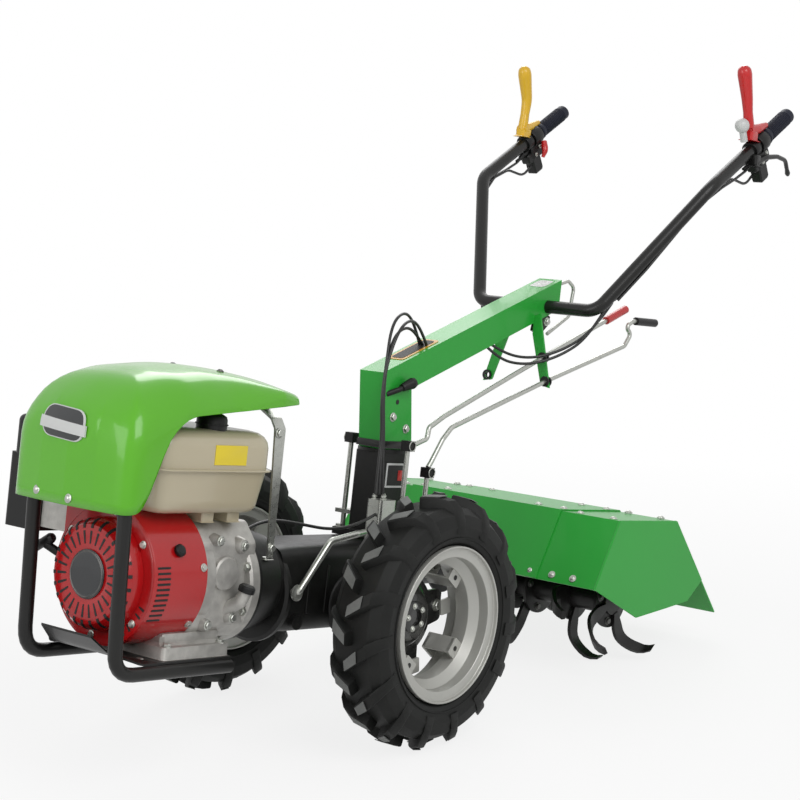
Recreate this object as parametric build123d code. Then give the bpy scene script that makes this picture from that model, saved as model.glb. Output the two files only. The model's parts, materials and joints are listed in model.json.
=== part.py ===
from build123d import *
import math
import os

# A two-wheel walking tractor with a petrol engine in front and a rotary tiller behind.
# All lengths are in millimetres, +X points forward, +Y to the operator's left and +Z up.
# The chassis is drawn level, with its origin on the wheel axle, and is then tipped about
# the axle until the tiller's tines stand on the ground.

# Wheels
TYRE_RADIUS = 235.0
CARCASS_RADIUS = 214.0
TYRE_HALF_WIDTH = 59.0
BEAD_RADIUS = 127.0
BEAD_HALF_WIDTH = 44.0
TRACK = 534.0
LUGS_PER_SIDE = 15
LUG_WIDTH = 27.0
LUG_SLANT = 46.0
LUG_FOOT_RADIUS = 186.0
LUG_HALF_SPAN = 57.0
LUG_DRAFT = 6.0
RIM_FLANGE_RADIUS = 145.0
RIM_HALF_WIDTH = 56.0
RIM_WELL_RADIUS = 106.0
RIM_SHEET = 4.0
TAB_SHEET = 6.0
TYRE_FIT = 0.3
DISC_OFFSET = 34.0
DISC_RADIUS = 92.0
DISC_SHEET = 6.0
DISC_LOBES = 5
DISC_BOLT_CIRCLE = 80.0
HUB_RADIUS = 38.0
HUB_LENGTH = 54.0
AXLE_RADIUS = 15.0
AXLE_CLEARANCE = 0.08

# Chassis
GEARBOX_HALF_WIDTH = 78.0
GEARBOX_FRONT = 195.0
GEARBOX_REAR = -205.0
GEARBOX_TOP = 112.0
GEARBOX_BOTTOM = -86.0
AXLE_TUBE_RADIUS = 42.0
AXLE_TUBE_END = 170.0
CRANK_HEIGHT = 61.0
POST_X = -150.0
POST_HALF_WIDTH = 36.0
POST_HALF_DEPTH = 48.0
POST_TOP = 288.0
POST_PLATE = 6.0

# Engine
PTO_FACE = 288.0
BELL_AXIS_Z = 41.0
BELL_REAR_RADIUS = 82.0
BELL_FRONT_RADIUS = 104.0
CRANKCASE_FRONT = 436.0
CRANKCASE_HALF_WIDTH = 92.0
CRANKCASE_TOP = 158.0
BASE_THICKNESS = 22.0
BASE_FRONT = 506.0
BASE_REAR = 348.0
BASE_HALF_WIDTH = 106.0
SHROUD_RADIUS = 122.0
SHROUD_FRONT = 562.0
SHROUD_WALL = 4.0
SHROUD_TOP = 174.0
RECOIL_SLOTS = 30
RECOIL_RADIUS = 96.0
RECOIL_FRONT = 600.0
BADGE_RADIUS = 42.0
BADGE_THICKNESS = 4.0
CYLINDER_LEAN = 25.0
CYLINDER_REACH = 225.0
CYLINDER_SIZE = 118.0
CYLINDER_X = 372.0
TANK_FRONT = 566.0
TANK_REAR = 292.0
TANK_NEAR = 118.0
TANK_FAR = -86.0
TANK_BOTTOM = 176.0
TANK_TOP = 318.0
TANK_SEAM = 250.0
SEAM_LIP = 5.0
CAP_RADIUS = 27.0
CAP_HEIGHT = 34.0

# Hood and frame in front
HOOD_FRONT = 665.0
HOOD_REAR = 229.0
HOOD_NEAR = 136.0
HOOD_FAR = -150.0
HOOD_SHEET = 4.0
HOOD_CROWN = 424.0
HOOD_LOW = 178.0
HOOD_NOSE = 376.0
HOOD_TAIL = 398.0
BUMPER_TUBE = 32.0
BUMPER_HALF_WIDTH = 112.0
BUMPER_FRONT = 618.0
BUMPER_LEAN = 22.8
BUMPER_LOW = -97.0
BUMPER_TOP = 214.0
BUMPER_BEND = 52.0
BUMPER_REAR = 216.0
SKID_SHEET = 7.0
SEAT_GAP = 0.3
BASE_BOTTOM = BUMPER_LOW + BUMPER_TUBE / 2 + SKID_SHEET + 2 * SEAT_GAP

# Gear controls
SELECTOR_RADIUS = 5.0
SELECTOR_X = -137.0
SELECTOR_Y = 72.0
THIRD_SELECTOR_X = -202.0
THIRD_SELECTOR_Y = 76.0
COUPLING_SIZE = 20.0
COUPLING_GAP = 2.4
ROD_RADIUS = 5.0

# Handlebar column
COLUMN_HALF_WIDTH = 30.0
COLUMN_DEPTH = 92.0
ARM_DEPTH = 60.0
ARM_ANGLE = 21.8
ARM_END_X = -664.0
BAR_AXIS_X = -622.0
BAR_AXIS_Z = 606.0
BAR_RADIUS = 14.0
BAR_CLEARANCE = 0.3
GRIP_RADIUS = 17.0
GRIP_LENGTH = 112.0
BAR_BEND_Y = 154.0
BAR_SPREAD = 303.0
BAR_KNEE = (-785.0, 895.0)
BAR_END = (-1077.0, 1090.0)
BAR_SLOPE = math.atan2(BAR_END[1] - BAR_KNEE[1], BAR_KNEE[0] - BAR_END[0])
CLAMP_RADIUS = 25.0
SWIVEL_GAP = 0.5
ARM_WALL = 3.0
EAR_X = -575.0
EAR_Y = 76.0
EAR_SHEET = 5.0

# Tiller
CASE_AXIS_Z = 62.0
CASE_RADIUS = 50.0
CASE_FLANGE_RADIUS = 62.0
CASE_HALF_WIDTH = 34.0
CASE_STEP_X = -470.0
FLAP_HINGE = (-806.0, 118.0)
FLAP_KNUCKLE = 4.6
TINE_REACH = 55.0
ROTOR_X = -625.0
ROTOR_Z = 10.0
TINE_RADIUS = 141.0
ROTOR_TUBE_RADIUS = 30.0
TINE_STAGGER = 30.0
TINE_HALF_WIDTH = 14.0
TINE_SHEET = 8.0
TILLER_HALF_WIDTH = 340.0
TILLER_CENTRE_HALF_WIDTH = 196.0
TILLER_SHEET = 3.0
FLANGE_Y = (86.0, 176.0, 264.0)
TINES_PER_FLANGE = 4

# The height of the rotor's axis when two rows of tips stand on the ground sets the stance.
TIP_ANGLE = math.radians(TINE_STAGGER / 2)
AXIS_HEIGHT = TINE_RADIUS * math.cos(TIP_ANGLE) + TINE_HALF_WIDTH * math.sin(TIP_ANGLE)
ROTOR_REACH = math.hypot(ROTOR_X, ROTOR_Z)
STANCE_DEG = math.degrees(
    math.atan2(ROTOR_Z, -ROTOR_X) + math.asin((TYRE_RADIUS - AXIS_HEIGHT) / ROTOR_REACH)
)
STANCE = Pos(0, 0, TYRE_RADIUS) * Rot(0, -STANCE_DEG, 0)


def block(x, y, z):
    """A box between two x, two y and two z values."""
    size = [abs(b - a) for a, b in (x, y, z)]
    middle = [(a + b) / 2 for a, b in (x, y, z)]
    return Pos(*middle) * Box(*size)


def rod_x(x0, x1, y, z, radius):
    """A round bar along X."""
    return Pos((x0 + x1) / 2, y, z) * Rot(0, 90, 0) * Cylinder(radius, abs(x1 - x0))


def rod_y(y0, y1, x, z, radius):
    """A round bar along Y."""
    return Pos(x, (y0 + y1) / 2, z) * Rot(90, 0, 0) * Cylinder(radius, abs(y1 - y0))


def rod_z(z0, z1, x, y, radius):
    """A round bar along Z."""
    return Pos(x, y, (z0 + z1) / 2) * Cylinder(radius, abs(z1 - z0))


def side_plate(points, y0, y1):
    """A plate with an outline of (x, z) points, between two y values."""
    outline = Polyline(*[(x, y0, z) for x, z in points], close=True)
    return extrude(make_face(outline), amount=y1 - y0, dir=(0, 1, 0))


def front_plate(points, x0, x1):
    """A plate with an outline of (y, z) points, between two x values."""
    outline = Polyline(*[(x0, y, z) for y, z in points], close=True)
    return extrude(make_face(outline), amount=x1 - x0, dir=(1, 0, 0))


def shifted_line(points, distance):
    """The same line of (x, z) points set off to its left by a distance."""
    shifted = []
    for i, (x, z) in enumerate(points):
        normals = []
        for (ax, az), (bx, bz) in zip(points[max(i - 1, 0) : i + 1], points[max(i, 1) : i + 2]):
            run = math.hypot(bx - ax, bz - az)
            normals.append((-(bz - az) / run, (bx - ax) / run))
        nx = sum(n[0] for n in normals) / len(normals)
        nz = sum(n[1] for n in normals) / len(normals)
        grow = distance / (nx * nx + nz * nz)
        shifted.append((x + nx * grow, z + nz * grow))
    return shifted


def thick_line(points, thickness):
    """The outline of a folded sheet: the points, and the same line set off to its left."""
    return list(points) + shifted_line(points, thickness)[::-1]


def bent_bar(points, bends, radius):
    """A round bar or tube along straight runs joined by arcs."""
    path = FilletPolyline(*points, radius=bends)
    section = Plane(origin=path @ 0, z_dir=path % 0) * Circle(radius)
    return sweep(section, path=path)


def tyre():
    """One tyre about the Y axis, with slanted lugs on both shoulders."""
    half = [
        (BEAD_RADIUS + TYRE_FIT, 0),
        (BEAD_RADIUS + TYRE_FIT, BEAD_HALF_WIDTH),
        (RIM_FLANGE_RADIUS + 1.5, BEAD_HALF_WIDTH),
        (RIM_FLANGE_RADIUS + 6, BEAD_HALF_WIDTH + 6),
        (RIM_FLANGE_RADIUS + 20, TYRE_HALF_WIDTH - 2),
        (180, TYRE_HALF_WIDTH),
        (200, TYRE_HALF_WIDTH - 6),
        (CARCASS_RADIUS - 5, TYRE_HALF_WIDTH - 20),
        (CARCASS_RADIUS, 0),
    ]
    outline = half + [(r, -y) for r, y in half[-2:0:-1]]
    ring = revolve(make_face(Polyline(*[(r, y, 0) for r, y in outline], close=True)), axis=Axis.Y)
    for side in (1, -1):
        start = -(LUG_SLANT + LUG_WIDTH) / 2
        foot = [
            (LUG_FOOT_RADIUS, -2 * side, start),
            (LUG_FOOT_RADIUS, -2 * side, start + LUG_WIDTH),
            (LUG_FOOT_RADIUS, LUG_HALF_SPAN * side, start + LUG_SLANT + LUG_WIDTH),
            (LUG_FOOT_RADIUS, LUG_HALF_SPAN * side, start + LUG_SLANT),
        ]
        height = TYRE_RADIUS - LUG_FOOT_RADIUS + 1
        lug = extrude(make_face(Polyline(*foot, close=True)), amount=height, dir=(1, 0, 0), taper=LUG_DRAFT)
        lug &= rod_y(-TYRE_HALF_WIDTH, TYRE_HALF_WIDTH, 0, 0, TYRE_RADIUS)
        stagger = 0 if side > 0 else 180 / LUGS_PER_SIDE
        for i in range(LUGS_PER_SIDE):
            ring += Rot(0, stagger + 360 / LUGS_PER_SIDE * i, 0) * lug
    return ring


def rim():
    """One drop-centre rim about the Y axis, with the tabs that carry the disc."""
    wall = BEAD_HALF_WIDTH + TYRE_FIT + RIM_SHEET
    half = [
        (RIM_WELL_RADIUS, 14),
        (BEAD_RADIUS - RIM_SHEET, 26),
        (BEAD_RADIUS - RIM_SHEET, wall),
        (RIM_FLANGE_RADIUS - RIM_SHEET, wall),
        (RIM_FLANGE_RADIUS - RIM_SHEET, RIM_HALF_WIDTH),
    ]
    line = [(r, -y) for r, y in half[::-1]] + half
    outline = thick_line(line, -RIM_SHEET)
    ring = revolve(make_face(Polyline(*[(r, y, 0) for r, y in outline], close=True)), axis=Axis.Y)
    seat = SEAT_GAP - DISC_OFFSET
    for i in range(DISC_LOBES):
        tab = block((DISC_BOLT_CIRCLE - 13, RIM_WELL_RADIUS - 2), (seat, seat + TAB_SHEET), (-16, 16))
        tab += block((RIM_WELL_RADIUS - 8, RIM_WELL_RADIUS + 2), (seat, 12), (-16, 16))
        hole = rod_y(seat - 1, seat + TAB_SHEET + 1, DISC_BOLT_CIRCLE, 0, 5)
        ring += Rot(0, 360 / DISC_LOBES * i, 0) * (tab - hole)
    return ring


def disc():
    """The star-shaped wheel centre with its hub and stub axle, outer face towards +Y."""
    plate = rod_y(-DISC_SHEET, 0, 0, 0, HUB_RADIUS + 14)
    arm = block((0, DISC_RADIUS), (-DISC_SHEET, 0), (-18, 18))
    arm -= rod_y(-DISC_SHEET - 1, 1, DISC_BOLT_CIRCLE, 0, 5)
    for i in range(DISC_LOBES):
        plate += Rot(0, 360 / DISC_LOBES * i, 0) * arm
    plate += rod_y(-HUB_LENGTH, -DISC_SHEET, 0, 0, HUB_RADIUS)
    plate += rod_y(-HUB_LENGTH - 110, -HUB_LENGTH, 0, 0, AXLE_RADIUS)
    return plate


def gearbox():
    """The black gear casing with its axle tubes and the flange for the tiller."""
    y = (-GEARBOX_HALF_WIDTH, GEARBOX_HALF_WIDTH)
    body = block((GEARBOX_REAR + 18, GEARBOX_FRONT), y, (GEARBOX_BOTTOM, GEARBOX_TOP))
    body = fillet(body.edges().filter_by(Axis.X), 26)
    body += rod_y(-AXLE_TUBE_END, AXLE_TUBE_END, 0, 0, AXLE_TUBE_RADIUS)
    body += rod_x(GEARBOX_REAR, GEARBOX_REAR + 20, 0, CASE_AXIS_Z, CASE_FLANGE_RADIUS)
    for side in (1, -1):
        bore = rod_y(side * 50, side * (AXLE_TUBE_END + 5), 0, 0, AXLE_RADIUS + AXLE_CLEARANCE)
        body -= bore
    return body


def bell_housing():
    """The clutch housing between the engine and the gear casing."""
    length = PTO_FACE - GEARBOX_FRONT
    middle = (PTO_FACE + GEARBOX_FRONT) / 2
    return Pos(middle, 0, BELL_AXIS_Z) * Rot(0, 90, 0) * Cone(BELL_REAR_RADIUS, BELL_FRONT_RADIUS, length)


def post():
    """The upright that carries the handlebar column."""
    front, rear = POST_X + POST_HALF_DEPTH, POST_X - POST_HALF_DEPTH
    foot = block((GEARBOX_REAR + 20 + SEAT_GAP, front + 20), (-52, 52), (GEARBOX_TOP, GEARBOX_TOP + 14))
    y = (-POST_HALF_WIDTH, POST_HALF_WIDTH)
    body = block((rear + 4, front - 4), y, (GEARBOX_TOP + 14, POST_TOP - POST_PLATE))
    body = fillet(body.edges().filter_by(Axis.Z), 10)
    top = rod_z(POST_TOP - POST_PLATE, POST_TOP, POST_X, 0, POST_HALF_DEPTH + 2)
    return foot + body + top


def gear_cover():
    """The zinc box on the gear casing that takes the clutch and throttle cables."""
    body = block((-96, -48), (56, 92), (GEARBOX_TOP, 196))
    return fillet(body.edges().filter_by(Axis.Z), 6)


def gear_linkage():
    """The selector rods in their brackets on the post, and the bent lever on the near side."""
    inner = POST_HALF_WIDTH + SEAT_GAP
    foot = GEARBOX_TOP - 4
    top = POST_TOP + COUPLING_GAP - 0.4
    far = rod_z(foot, top, SELECTOR_X, -SELECTOR_Y, SELECTOR_RADIUS)
    far += block((SELECTOR_X - 14, SELECTOR_X + 14), (-SELECTOR_Y - 12, -inner), (150, 158))
    near = rod_z(foot, top, SELECTOR_X, SELECTOR_Y, SELECTOR_RADIUS)
    near += block((THIRD_SELECTOR_X - 14, SELECTOR_X + 14), (inner, THIRD_SELECTOR_Y + 12), (150, 158))
    near += rod_z(140, 239, THIRD_SELECTOR_X, THIRD_SELECTOR_Y, SELECTOR_RADIUS)
    start = GEARBOX_HALF_WIDTH + SEAT_GAP
    lever = bent_bar(
        [(183, start, 30), (183, 108, 30), (112, 112, 124), (40, 112, 136), (0, 96, 136)],
        [10, 20, 18],
        6.5,
    )
    return [far, near, lever]


def crankcase():
    """The aluminium engine block on its base."""
    y = (-CRANKCASE_HALF_WIDTH, CRANKCASE_HALF_WIDTH)
    body = block((PTO_FACE + SEAT_GAP, CRANKCASE_FRONT), y, (BASE_BOTTOM + BASE_THICKNESS - 4, CRANKCASE_TOP))
    body = fillet(body.edges().filter_by(Axis.X), 30)
    y = (-BASE_HALF_WIDTH, BASE_HALF_WIDTH)
    base = block((BASE_REAR, BASE_FRONT), y, (BASE_BOTTOM, BASE_BOTTOM + BASE_THICKNESS))
    return body + base


def cylinder_block(grow):
    """The cylinder's leaning square form, grown on all sides."""
    start = 96.0 - grow
    length = CYLINDER_REACH + grow - start
    size = CYLINDER_SIZE + 2 * grow
    lean = Pos(CYLINDER_X, 0, CRANK_HEIGHT) * Rot(-CYLINDER_LEAN, 0, 0)
    return lean * Pos(0, -(start + length / 2), 0) * Box(size, length, size)


def cylinder():
    """The finned cylinder and head, leaning to the operator's right."""
    clear = CRANKCASE_HALF_WIDTH + SEAT_GAP
    return cylinder_block(0) - block((PTO_FACE - 60, CRANKCASE_FRONT + 60), (-clear, 60), (-60, 260))


def fan_shroud():
    """The red fan housing round the flywheel, open towards the engine block."""
    rear = CRANKCASE_FRONT + SEAT_GAP
    front = SHROUD_FRONT - SHROUD_WALL
    outer = rod_x(rear, SHROUD_FRONT, 0, CRANK_HEIGHT, SHROUD_RADIUS)
    outer += block((rear, SHROUD_FRONT - 20), (-130, 0), (CRANK_HEIGHT, SHROUD_TOP))
    inner = rod_x(rear - 1, front, 0, CRANK_HEIGHT, SHROUD_RADIUS - SHROUD_WALL)
    inner &= block((rear - 1, front), (-SHROUD_RADIUS, SHROUD_RADIUS), (-200, SHROUD_TOP - SHROUD_WALL))
    inner += block((rear - 1, front - 20), (SHROUD_WALL - 130, 0), (CRANK_HEIGHT, SHROUD_TOP - SHROUD_WALL))
    above = block((rear - 1, SHROUD_FRONT + 1), (-SHROUD_RADIUS, SHROUD_RADIUS), (SHROUD_TOP, 260))
    seat = BASE_BOTTOM + BASE_THICKNESS + SEAT_GAP
    base = block((BASE_REAR, BASE_FRONT + 2), (-BASE_HALF_WIDTH - 2, BASE_HALF_WIDTH + 2), (-110, seat))
    return outer - inner - above - base


def recoil_cone(grow):
    """The starter cover's tapered round form, grown all round."""
    rear = SHROUD_FRONT + SEAT_GAP
    middle = (rear + RECOIL_FRONT) / 2
    cone = Cone(RECOIL_RADIUS + grow, RECOIL_RADIUS - 12 + grow, RECOIL_FRONT - rear)
    return Pos(middle, 0, CRANK_HEIGHT) * Rot(0, 90, 0) * cone


def recoil_cover():
    """The pull starter's round cover, with its ring of air slots."""
    cover = recoil_cone(0)
    slot = block((RECOIL_FRONT - 10, RECOIL_FRONT + 1), (-3, 3), (BADGE_RADIUS + 6, RECOIL_RADIUS - 22))
    for i in range(RECOIL_SLOTS):
        cover -= Pos(0, 0, CRANK_HEIGHT) * Rot(360 / RECOIL_SLOTS * i, 0, 0) * slot
    return cover


def recoil_handle():
    """The pull handle parked at the far side of the starter."""
    stem = straight_bar((582, -80, 78), (599, -118, 93), 9) - recoil_cone(SEAT_GAP)
    return stem + Pos(600, -120, 94) * Rot(60, 0, 0) * Cylinder(9, 58)


def air_cleaner():
    """The black air cleaner: a slotted box with its cover on top."""
    body = block((452, 552), (-284, -196), (104, 236))
    body = fillet(body.edges().filter_by(Axis.Z), 12)
    cover = block((456, 566), (-262, -170), (236, 306))
    cover = fillet(cover.edges().filter_by(Axis.Z), 20)
    cover = fillet(cover.faces().sort_by(Axis.Z)[-1].edges(), 12)
    return body + cover


def muffler():
    """The silencer behind the air cleaner."""
    body = block((304, 436), (-288, -176), (214, 312))
    body = fillet(body.edges().filter_by(Axis.X), 26)
    pipe = block((350, 394), (-238, -200), (150, 222)) - cylinder_block(SEAT_GAP)
    return body + pipe


def carburettor():
    """The dark intake parts between the cylinder and the air cleaner."""
    return block((444, 540), (-196 + SEAT_GAP, -130 - SEAT_GAP), (112, 166))


def fuel_tank():
    """The pale tank: two pressed halves meeting at a seam."""
    x = (TANK_REAR, TANK_FRONT)
    y = (TANK_FAR, TANK_NEAR)
    upper = block(x, y, (TANK_SEAM, TANK_TOP))
    upper = fillet(upper.edges().filter_by(Axis.Z), 30)
    upper = fillet(upper.faces().sort_by(Axis.Z)[-1].edges(), 22)
    lower = block(x, y, (TANK_BOTTOM, TANK_SEAM))
    lower = fillet(lower.edges().filter_by(Axis.Z), 30)
    lower = fillet(lower.faces().sort_by(Axis.Z)[0].edges(), 24)
    lip = block(
        (x[0] - SEAM_LIP, x[1] + SEAM_LIP),
        (y[0] - SEAM_LIP, y[1] + SEAM_LIP),
        (TANK_SEAM - 1.5, TANK_SEAM + 1.5),
    )
    lip = fillet(lip.edges().filter_by(Axis.Z), 30 + SEAM_LIP)
    feet = None
    for fx in (TANK_REAR + 40, TANK_REAR + 104):
        foot = block((fx, fx + 30), (-70, 84), (CRANKCASE_TOP, TANK_BOTTOM + 2))
        feet = foot if feet is None else feet + foot
    return upper + lower + lip + feet


def hood_body(inset):
    """The hood's rounded outer form, drawn in by an inset for its inside."""
    front = HOOD_FRONT - inset
    rear = HOOD_REAR if inset == 0 else HOOD_REAR - 20
    low = HOOD_LOW if inset == 0 else HOOD_LOW - 40
    crown = HOOD_CROWN - inset
    points = [(front, low), (front - 8, HOOD_NOSE - inset), (470, crown), (rear, HOOD_TAIL - inset), (rear, low)]
    body = side_plate(points, HOOD_FAR + inset, HOOD_NEAR - inset)
    across = body.edges().filter_by(Axis.Y)
    nose = [e for e in across if e.center().X > front - 20 and e.center().Z > HOOD_LOW]
    body = fillet(nose, 85 - inset)
    along = [
        e
        for e in body.edges()
        if e.bounding_box().size.Y < 0.01 and e.center().Z > low + 1 and e.center().X > rear + 1
    ]
    return fillet(along, 34 - inset)


def hood():
    """The glossy engine hood: a rounded cover cut open along both sides and at the rear."""
    body = hood_body(0) - hood_body(HOOD_SHEET)
    opening = [
        (606, HOOD_LOW - 50),
        (606, 206),
        (595, 239),
        (585, 277),
        (565, 316),
        (525, 343),
        (268, 372),
        (200, 376),
        (200, HOOD_LOW - 50),
    ]
    return body - side_plate(opening, HOOD_FAR - 10, HOOD_NEAR + 10)


def hood_bracket():
    """The zinc strap that arches over the tank's rear end and carries the hood."""
    line = [(-124, 96), (-124, 330), (-96, 352), (96, 352), (124, 330), (124, 96)]
    strap = front_plate(thick_line(line, -4.0), 256, 284)
    for side in (1, -1):
        y = sorted((side * 122, side * 88.6))
        strap += block((256, PTO_FACE - 2), y, (96, 100))
    saddle = block((258, 282), (-34, 34), (352, 391))
    return strap + saddle


def bumper():
    """The bent tube guard round the front of the engine."""
    y = BUMPER_HALF_WIDTH
    top = BUMPER_FRONT + BUMPER_LEAN
    points = [
        (BUMPER_REAR, -y, BUMPER_LOW),
        (BUMPER_FRONT, -y, BUMPER_LOW),
        (top, -y, BUMPER_TOP),
        (top, y, BUMPER_TOP),
        (BUMPER_FRONT, y, BUMPER_LOW),
        (BUMPER_REAR, y, BUMPER_LOW),
    ]
    return bent_bar(points, [BUMPER_BEND, 36, 36, BUMPER_BEND], BUMPER_TUBE / 2)


def skid_plate():
    """The folded plate that lies on the guard's lower runs and carries the engine."""
    low = BUMPER_LOW + BUMPER_TUBE / 2 + SEAT_GAP
    rear = GEARBOX_FRONT + SEAT_GAP
    line = [(rear, -46), (rear, low), (556, low), (602, low + 20)]
    plate = side_plate(thick_line(line, SKID_SHEET), -BUMPER_HALF_WIDTH, BUMPER_HALF_WIDTH)
    return plate


def column():
    """The green handlebar column with its sloping box arm."""
    rear = POST_X - POST_HALF_DEPTH - 4
    front = rear + COLUMN_DEPTH
    z0 = POST_TOP + SWIVEL_GAP
    lean = 20.0
    rise = math.tan(math.radians(ARM_ANGLE))
    drop = ARM_DEPTH / math.cos(math.radians(ARM_ANGLE))
    crown = (front + lean, 438.0)
    end_top = (ARM_END_X, crown[1] + (crown[0] - ARM_END_X) * rise)
    knee = (rear + lean, crown[1] - drop + (crown[0] - rear - lean) * rise)
    outline = [(rear, z0), (front, z0), crown, end_top, (ARM_END_X, end_top[1] - drop), knee]
    body = side_plate(outline, -COLUMN_HALF_WIDTH, COLUMN_HALF_WIDTH)
    inset = ARM_WALL / math.cos(math.radians(ARM_ANGLE))
    core = [
        (rear + ARM_WALL, z0 + 8),
        (front - ARM_WALL, z0 + 8),
        (crown[0] - ARM_WALL, crown[1] - inset),
        (ARM_END_X - 5, end_top[1] - inset + 5 * rise),
        (ARM_END_X - 5, end_top[1] - drop + inset + 5 * rise),
        (knee[0] + ARM_WALL, knee[1] + inset),
    ]
    body -= side_plate(core, ARM_WALL - COLUMN_HALF_WIDTH, COLUMN_HALF_WIDTH - ARM_WALL)
    body -= rod_y(-60, 60, BAR_AXIS_X, BAR_AXIS_Z, BAR_RADIUS + BAR_CLEARANCE)
    slot = block((ARM_END_X - 5, BAR_AXIS_X + 20), (-22, 22), (BAR_AXIS_Z - 70, BAR_AXIS_Z))
    return body - slot


def rod_brackets():
    """The two splayed ears under the arm that guide the shift rods."""
    ears = []
    for side in (1, -1):
        y = side * COLUMN_HALF_WIDTH
        foot = side * EAR_Y
        outline = [(y, 584), (y, 545), (foot - side * 11, 438), (foot + side * 11, 434), (y + side * 14, 590)]
        ear = front_plate(outline, EAR_X - EAR_SHEET, EAR_X)
        ear -= rod_x(EAR_X - 10, EAR_X + 5, foot, 447, 7.5)
        if side > 0:
            ear -= rod_x(EAR_X - 10, EAR_X + 5, 63, 497, 7.5)
        ears.append(ear)
    return ears


def rod_fittings():
    """The black coupling cubes, the rubber rings in the ears and the lower rod's grip."""
    size = COUPLING_SIZE
    upper, lower = shift_rods(ROD_RADIUS + SEAT_GAP)
    z = POST_TOP + COUPLING_GAP
    cubes = []
    for side in (1, -1):
        y = side * SELECTOR_Y
        cubes.append(block((SELECTOR_X - size / 2, SELECTOR_X + size / 2), (y - size / 2, y + size / 2), (z, z + size)))
    x, y = THIRD_SELECTOR_X, THIRD_SELECTOR_Y
    cubes.append(block((x - size / 2, x + size / 2), (y - size / 2, y + size / 2), (239.4, 239.4 + size)))
    rings = []
    for y, z in ((-EAR_Y, 447), (EAR_Y, 447), (63, 497)):
        ring = rod_x(EAR_X - EAR_SHEET - 4, EAR_X + 4, y, z, 11)
        ring -= rod_x(EAR_X - EAR_SHEET - SEAT_GAP, EAR_X + SEAT_GAP, y, z, 12)
        ring -= rod_x(EAR_X - 20, EAR_X + 20, y, z, 7) if y < 0 else upper + lower
        rings.append(ring)
    cubes = [cube - upper - lower for cube in cubes]
    return cubes + rings + [rod_grip((-989, 76, 600), (-906, 76, 598.5)) - lower]


def straight_bar(start, end, radius):
    """A round bar between two points."""
    line = Line(start, end)
    return sweep(Plane(origin=line @ 0, z_dir=line % 0) * Circle(radius), path=line)


def shift_rods(radius=ROD_RADIUS):
    """The two bent zinc shift rods."""
    z = POST_TOP + COUPLING_GAP + COUPLING_SIZE / 2
    upper = bent_bar(
        [
            (SELECTOR_X - COUPLING_SIZE / 2 - 0.3, SELECTOR_Y, z),
            (-196, 71, 316),
            (-200, 70, 338),
            (-247, 69, 362),
            (EAR_X, 63, 497),
            (-880, 60, 621),
        ],
        [12, 10, 20, 60],
        radius,
    )
    lower = bent_bar(
        [
            (THIRD_SELECTOR_X, THIRD_SELECTOR_Y, 239.4 + COUPLING_SIZE + 0.3),
            (-210, 76, 270),
            (-240, 76, 316),
            (-266, 76, 341),
            (EAR_X, EAR_Y, 447),
            (-870, 76, 540),
            (-892, 76, 568),
            (-868, 76, 584),
            (-896, 76, 598),
            (-985, 76, 600),
        ],
        [6, 20, 30, 100, 14, 10, 8, 14],
        radius,
    )
    return [upper, lower]


def handlebars():
    """The two bent tubes and the cross tube through the arm's end."""
    half = [
        (BAR_AXIS_X, 0, BAR_AXIS_Z),
        (BAR_AXIS_X, BAR_BEND_Y, BAR_AXIS_Z),
        (BAR_KNEE[0], BAR_SPREAD, BAR_KNEE[1]),
        (BAR_END[0], BAR_SPREAD, BAR_END[1]),
    ]
    left = bent_bar(half, [40, 70], BAR_RADIUS)
    return left + mirror(left, about=Plane.XZ)


def bar_point(distance):
    """A point on the left tube's axis, at a distance forward of its rear end."""
    run = math.hypot(BAR_KNEE[0] - BAR_END[0], BAR_KNEE[1] - BAR_END[1])
    share = distance / run
    x = BAR_END[0] + (BAR_KNEE[0] - BAR_END[0]) * share
    z = BAR_END[1] + (BAR_KNEE[1] - BAR_END[1]) * share
    return Vector(x, BAR_SPREAD, z)


def sleeve(start, end, radius, bore):
    """A round sleeve over the left tube between two distances from its end."""
    a, b = bar_point(start), bar_point(end)
    cut_a, cut_b = bar_point(start + 3), bar_point(end + 3)
    return straight_bar(a, b, radius) - straight_bar(cut_a, cut_b, bore)


def grips():
    """The two hand grips on the ends of the tubes."""
    left = sleeve(-3.0, GRIP_LENGTH, GRIP_RADIUS, BAR_RADIUS)
    return [left, mirror(left, about=Plane.XZ)]


def control_blocks():
    """The black clamps that hold the levers, one on each tube."""
    left = sleeve(GRIP_LENGTH + 6, GRIP_LENGTH + 60, CLAMP_RADIUS, BAR_RADIUS)
    middle = bar_point(GRIP_LENGTH + 33)
    left += Pos(middle.X + 22, middle.Y, middle.Z - 26) * Rot(0, 34, 0) * Box(44, 34, 40)
    left -= straight_bar(bar_point(GRIP_LENGTH - 20), bar_point(GRIP_LENGTH + 120), BAR_RADIUS)
    return [left, mirror(left, about=Plane.XZ)]


def top_lever():
    """The upright lever on top of the left clamp."""
    base = bar_point(GRIP_LENGTH + 20)
    rise = CLAMP_RADIUS + SEAT_GAP + 7
    foot = Pos(base.X + rise * math.sin(BAR_SLOPE), base.Y, base.Z + rise * math.cos(BAR_SLOPE))
    foot *= Rot(0, math.degrees(BAR_SLOPE), 0)
    blade = bent_bar(
        [
            (base.X + 18, base.Y - 6, base.Z + 28),
            (base.X + 34, base.Y - 8, base.Z + 84),
            (base.X + 58, base.Y - 12, base.Z + 160),
        ],
        [60],
        8,
    )
    return foot * Box(40, 20, 14) + blade


def hand_lever():
    """The dark squeeze lever under the left grip."""
    a = bar_point(GRIP_LENGTH + 40)
    return bent_bar(
        [
            (a.X + 22, a.Y + 22.3, a.Z - 44),
            (a.X - 60, a.Y + 22.3, a.Z - 20),
            (a.X - 130, a.Y + 18, a.Z - 8),
            (a.X - 170, a.Y + 8, a.Z - 34),
        ],
        [30, 30],
        5,
    )


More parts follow.
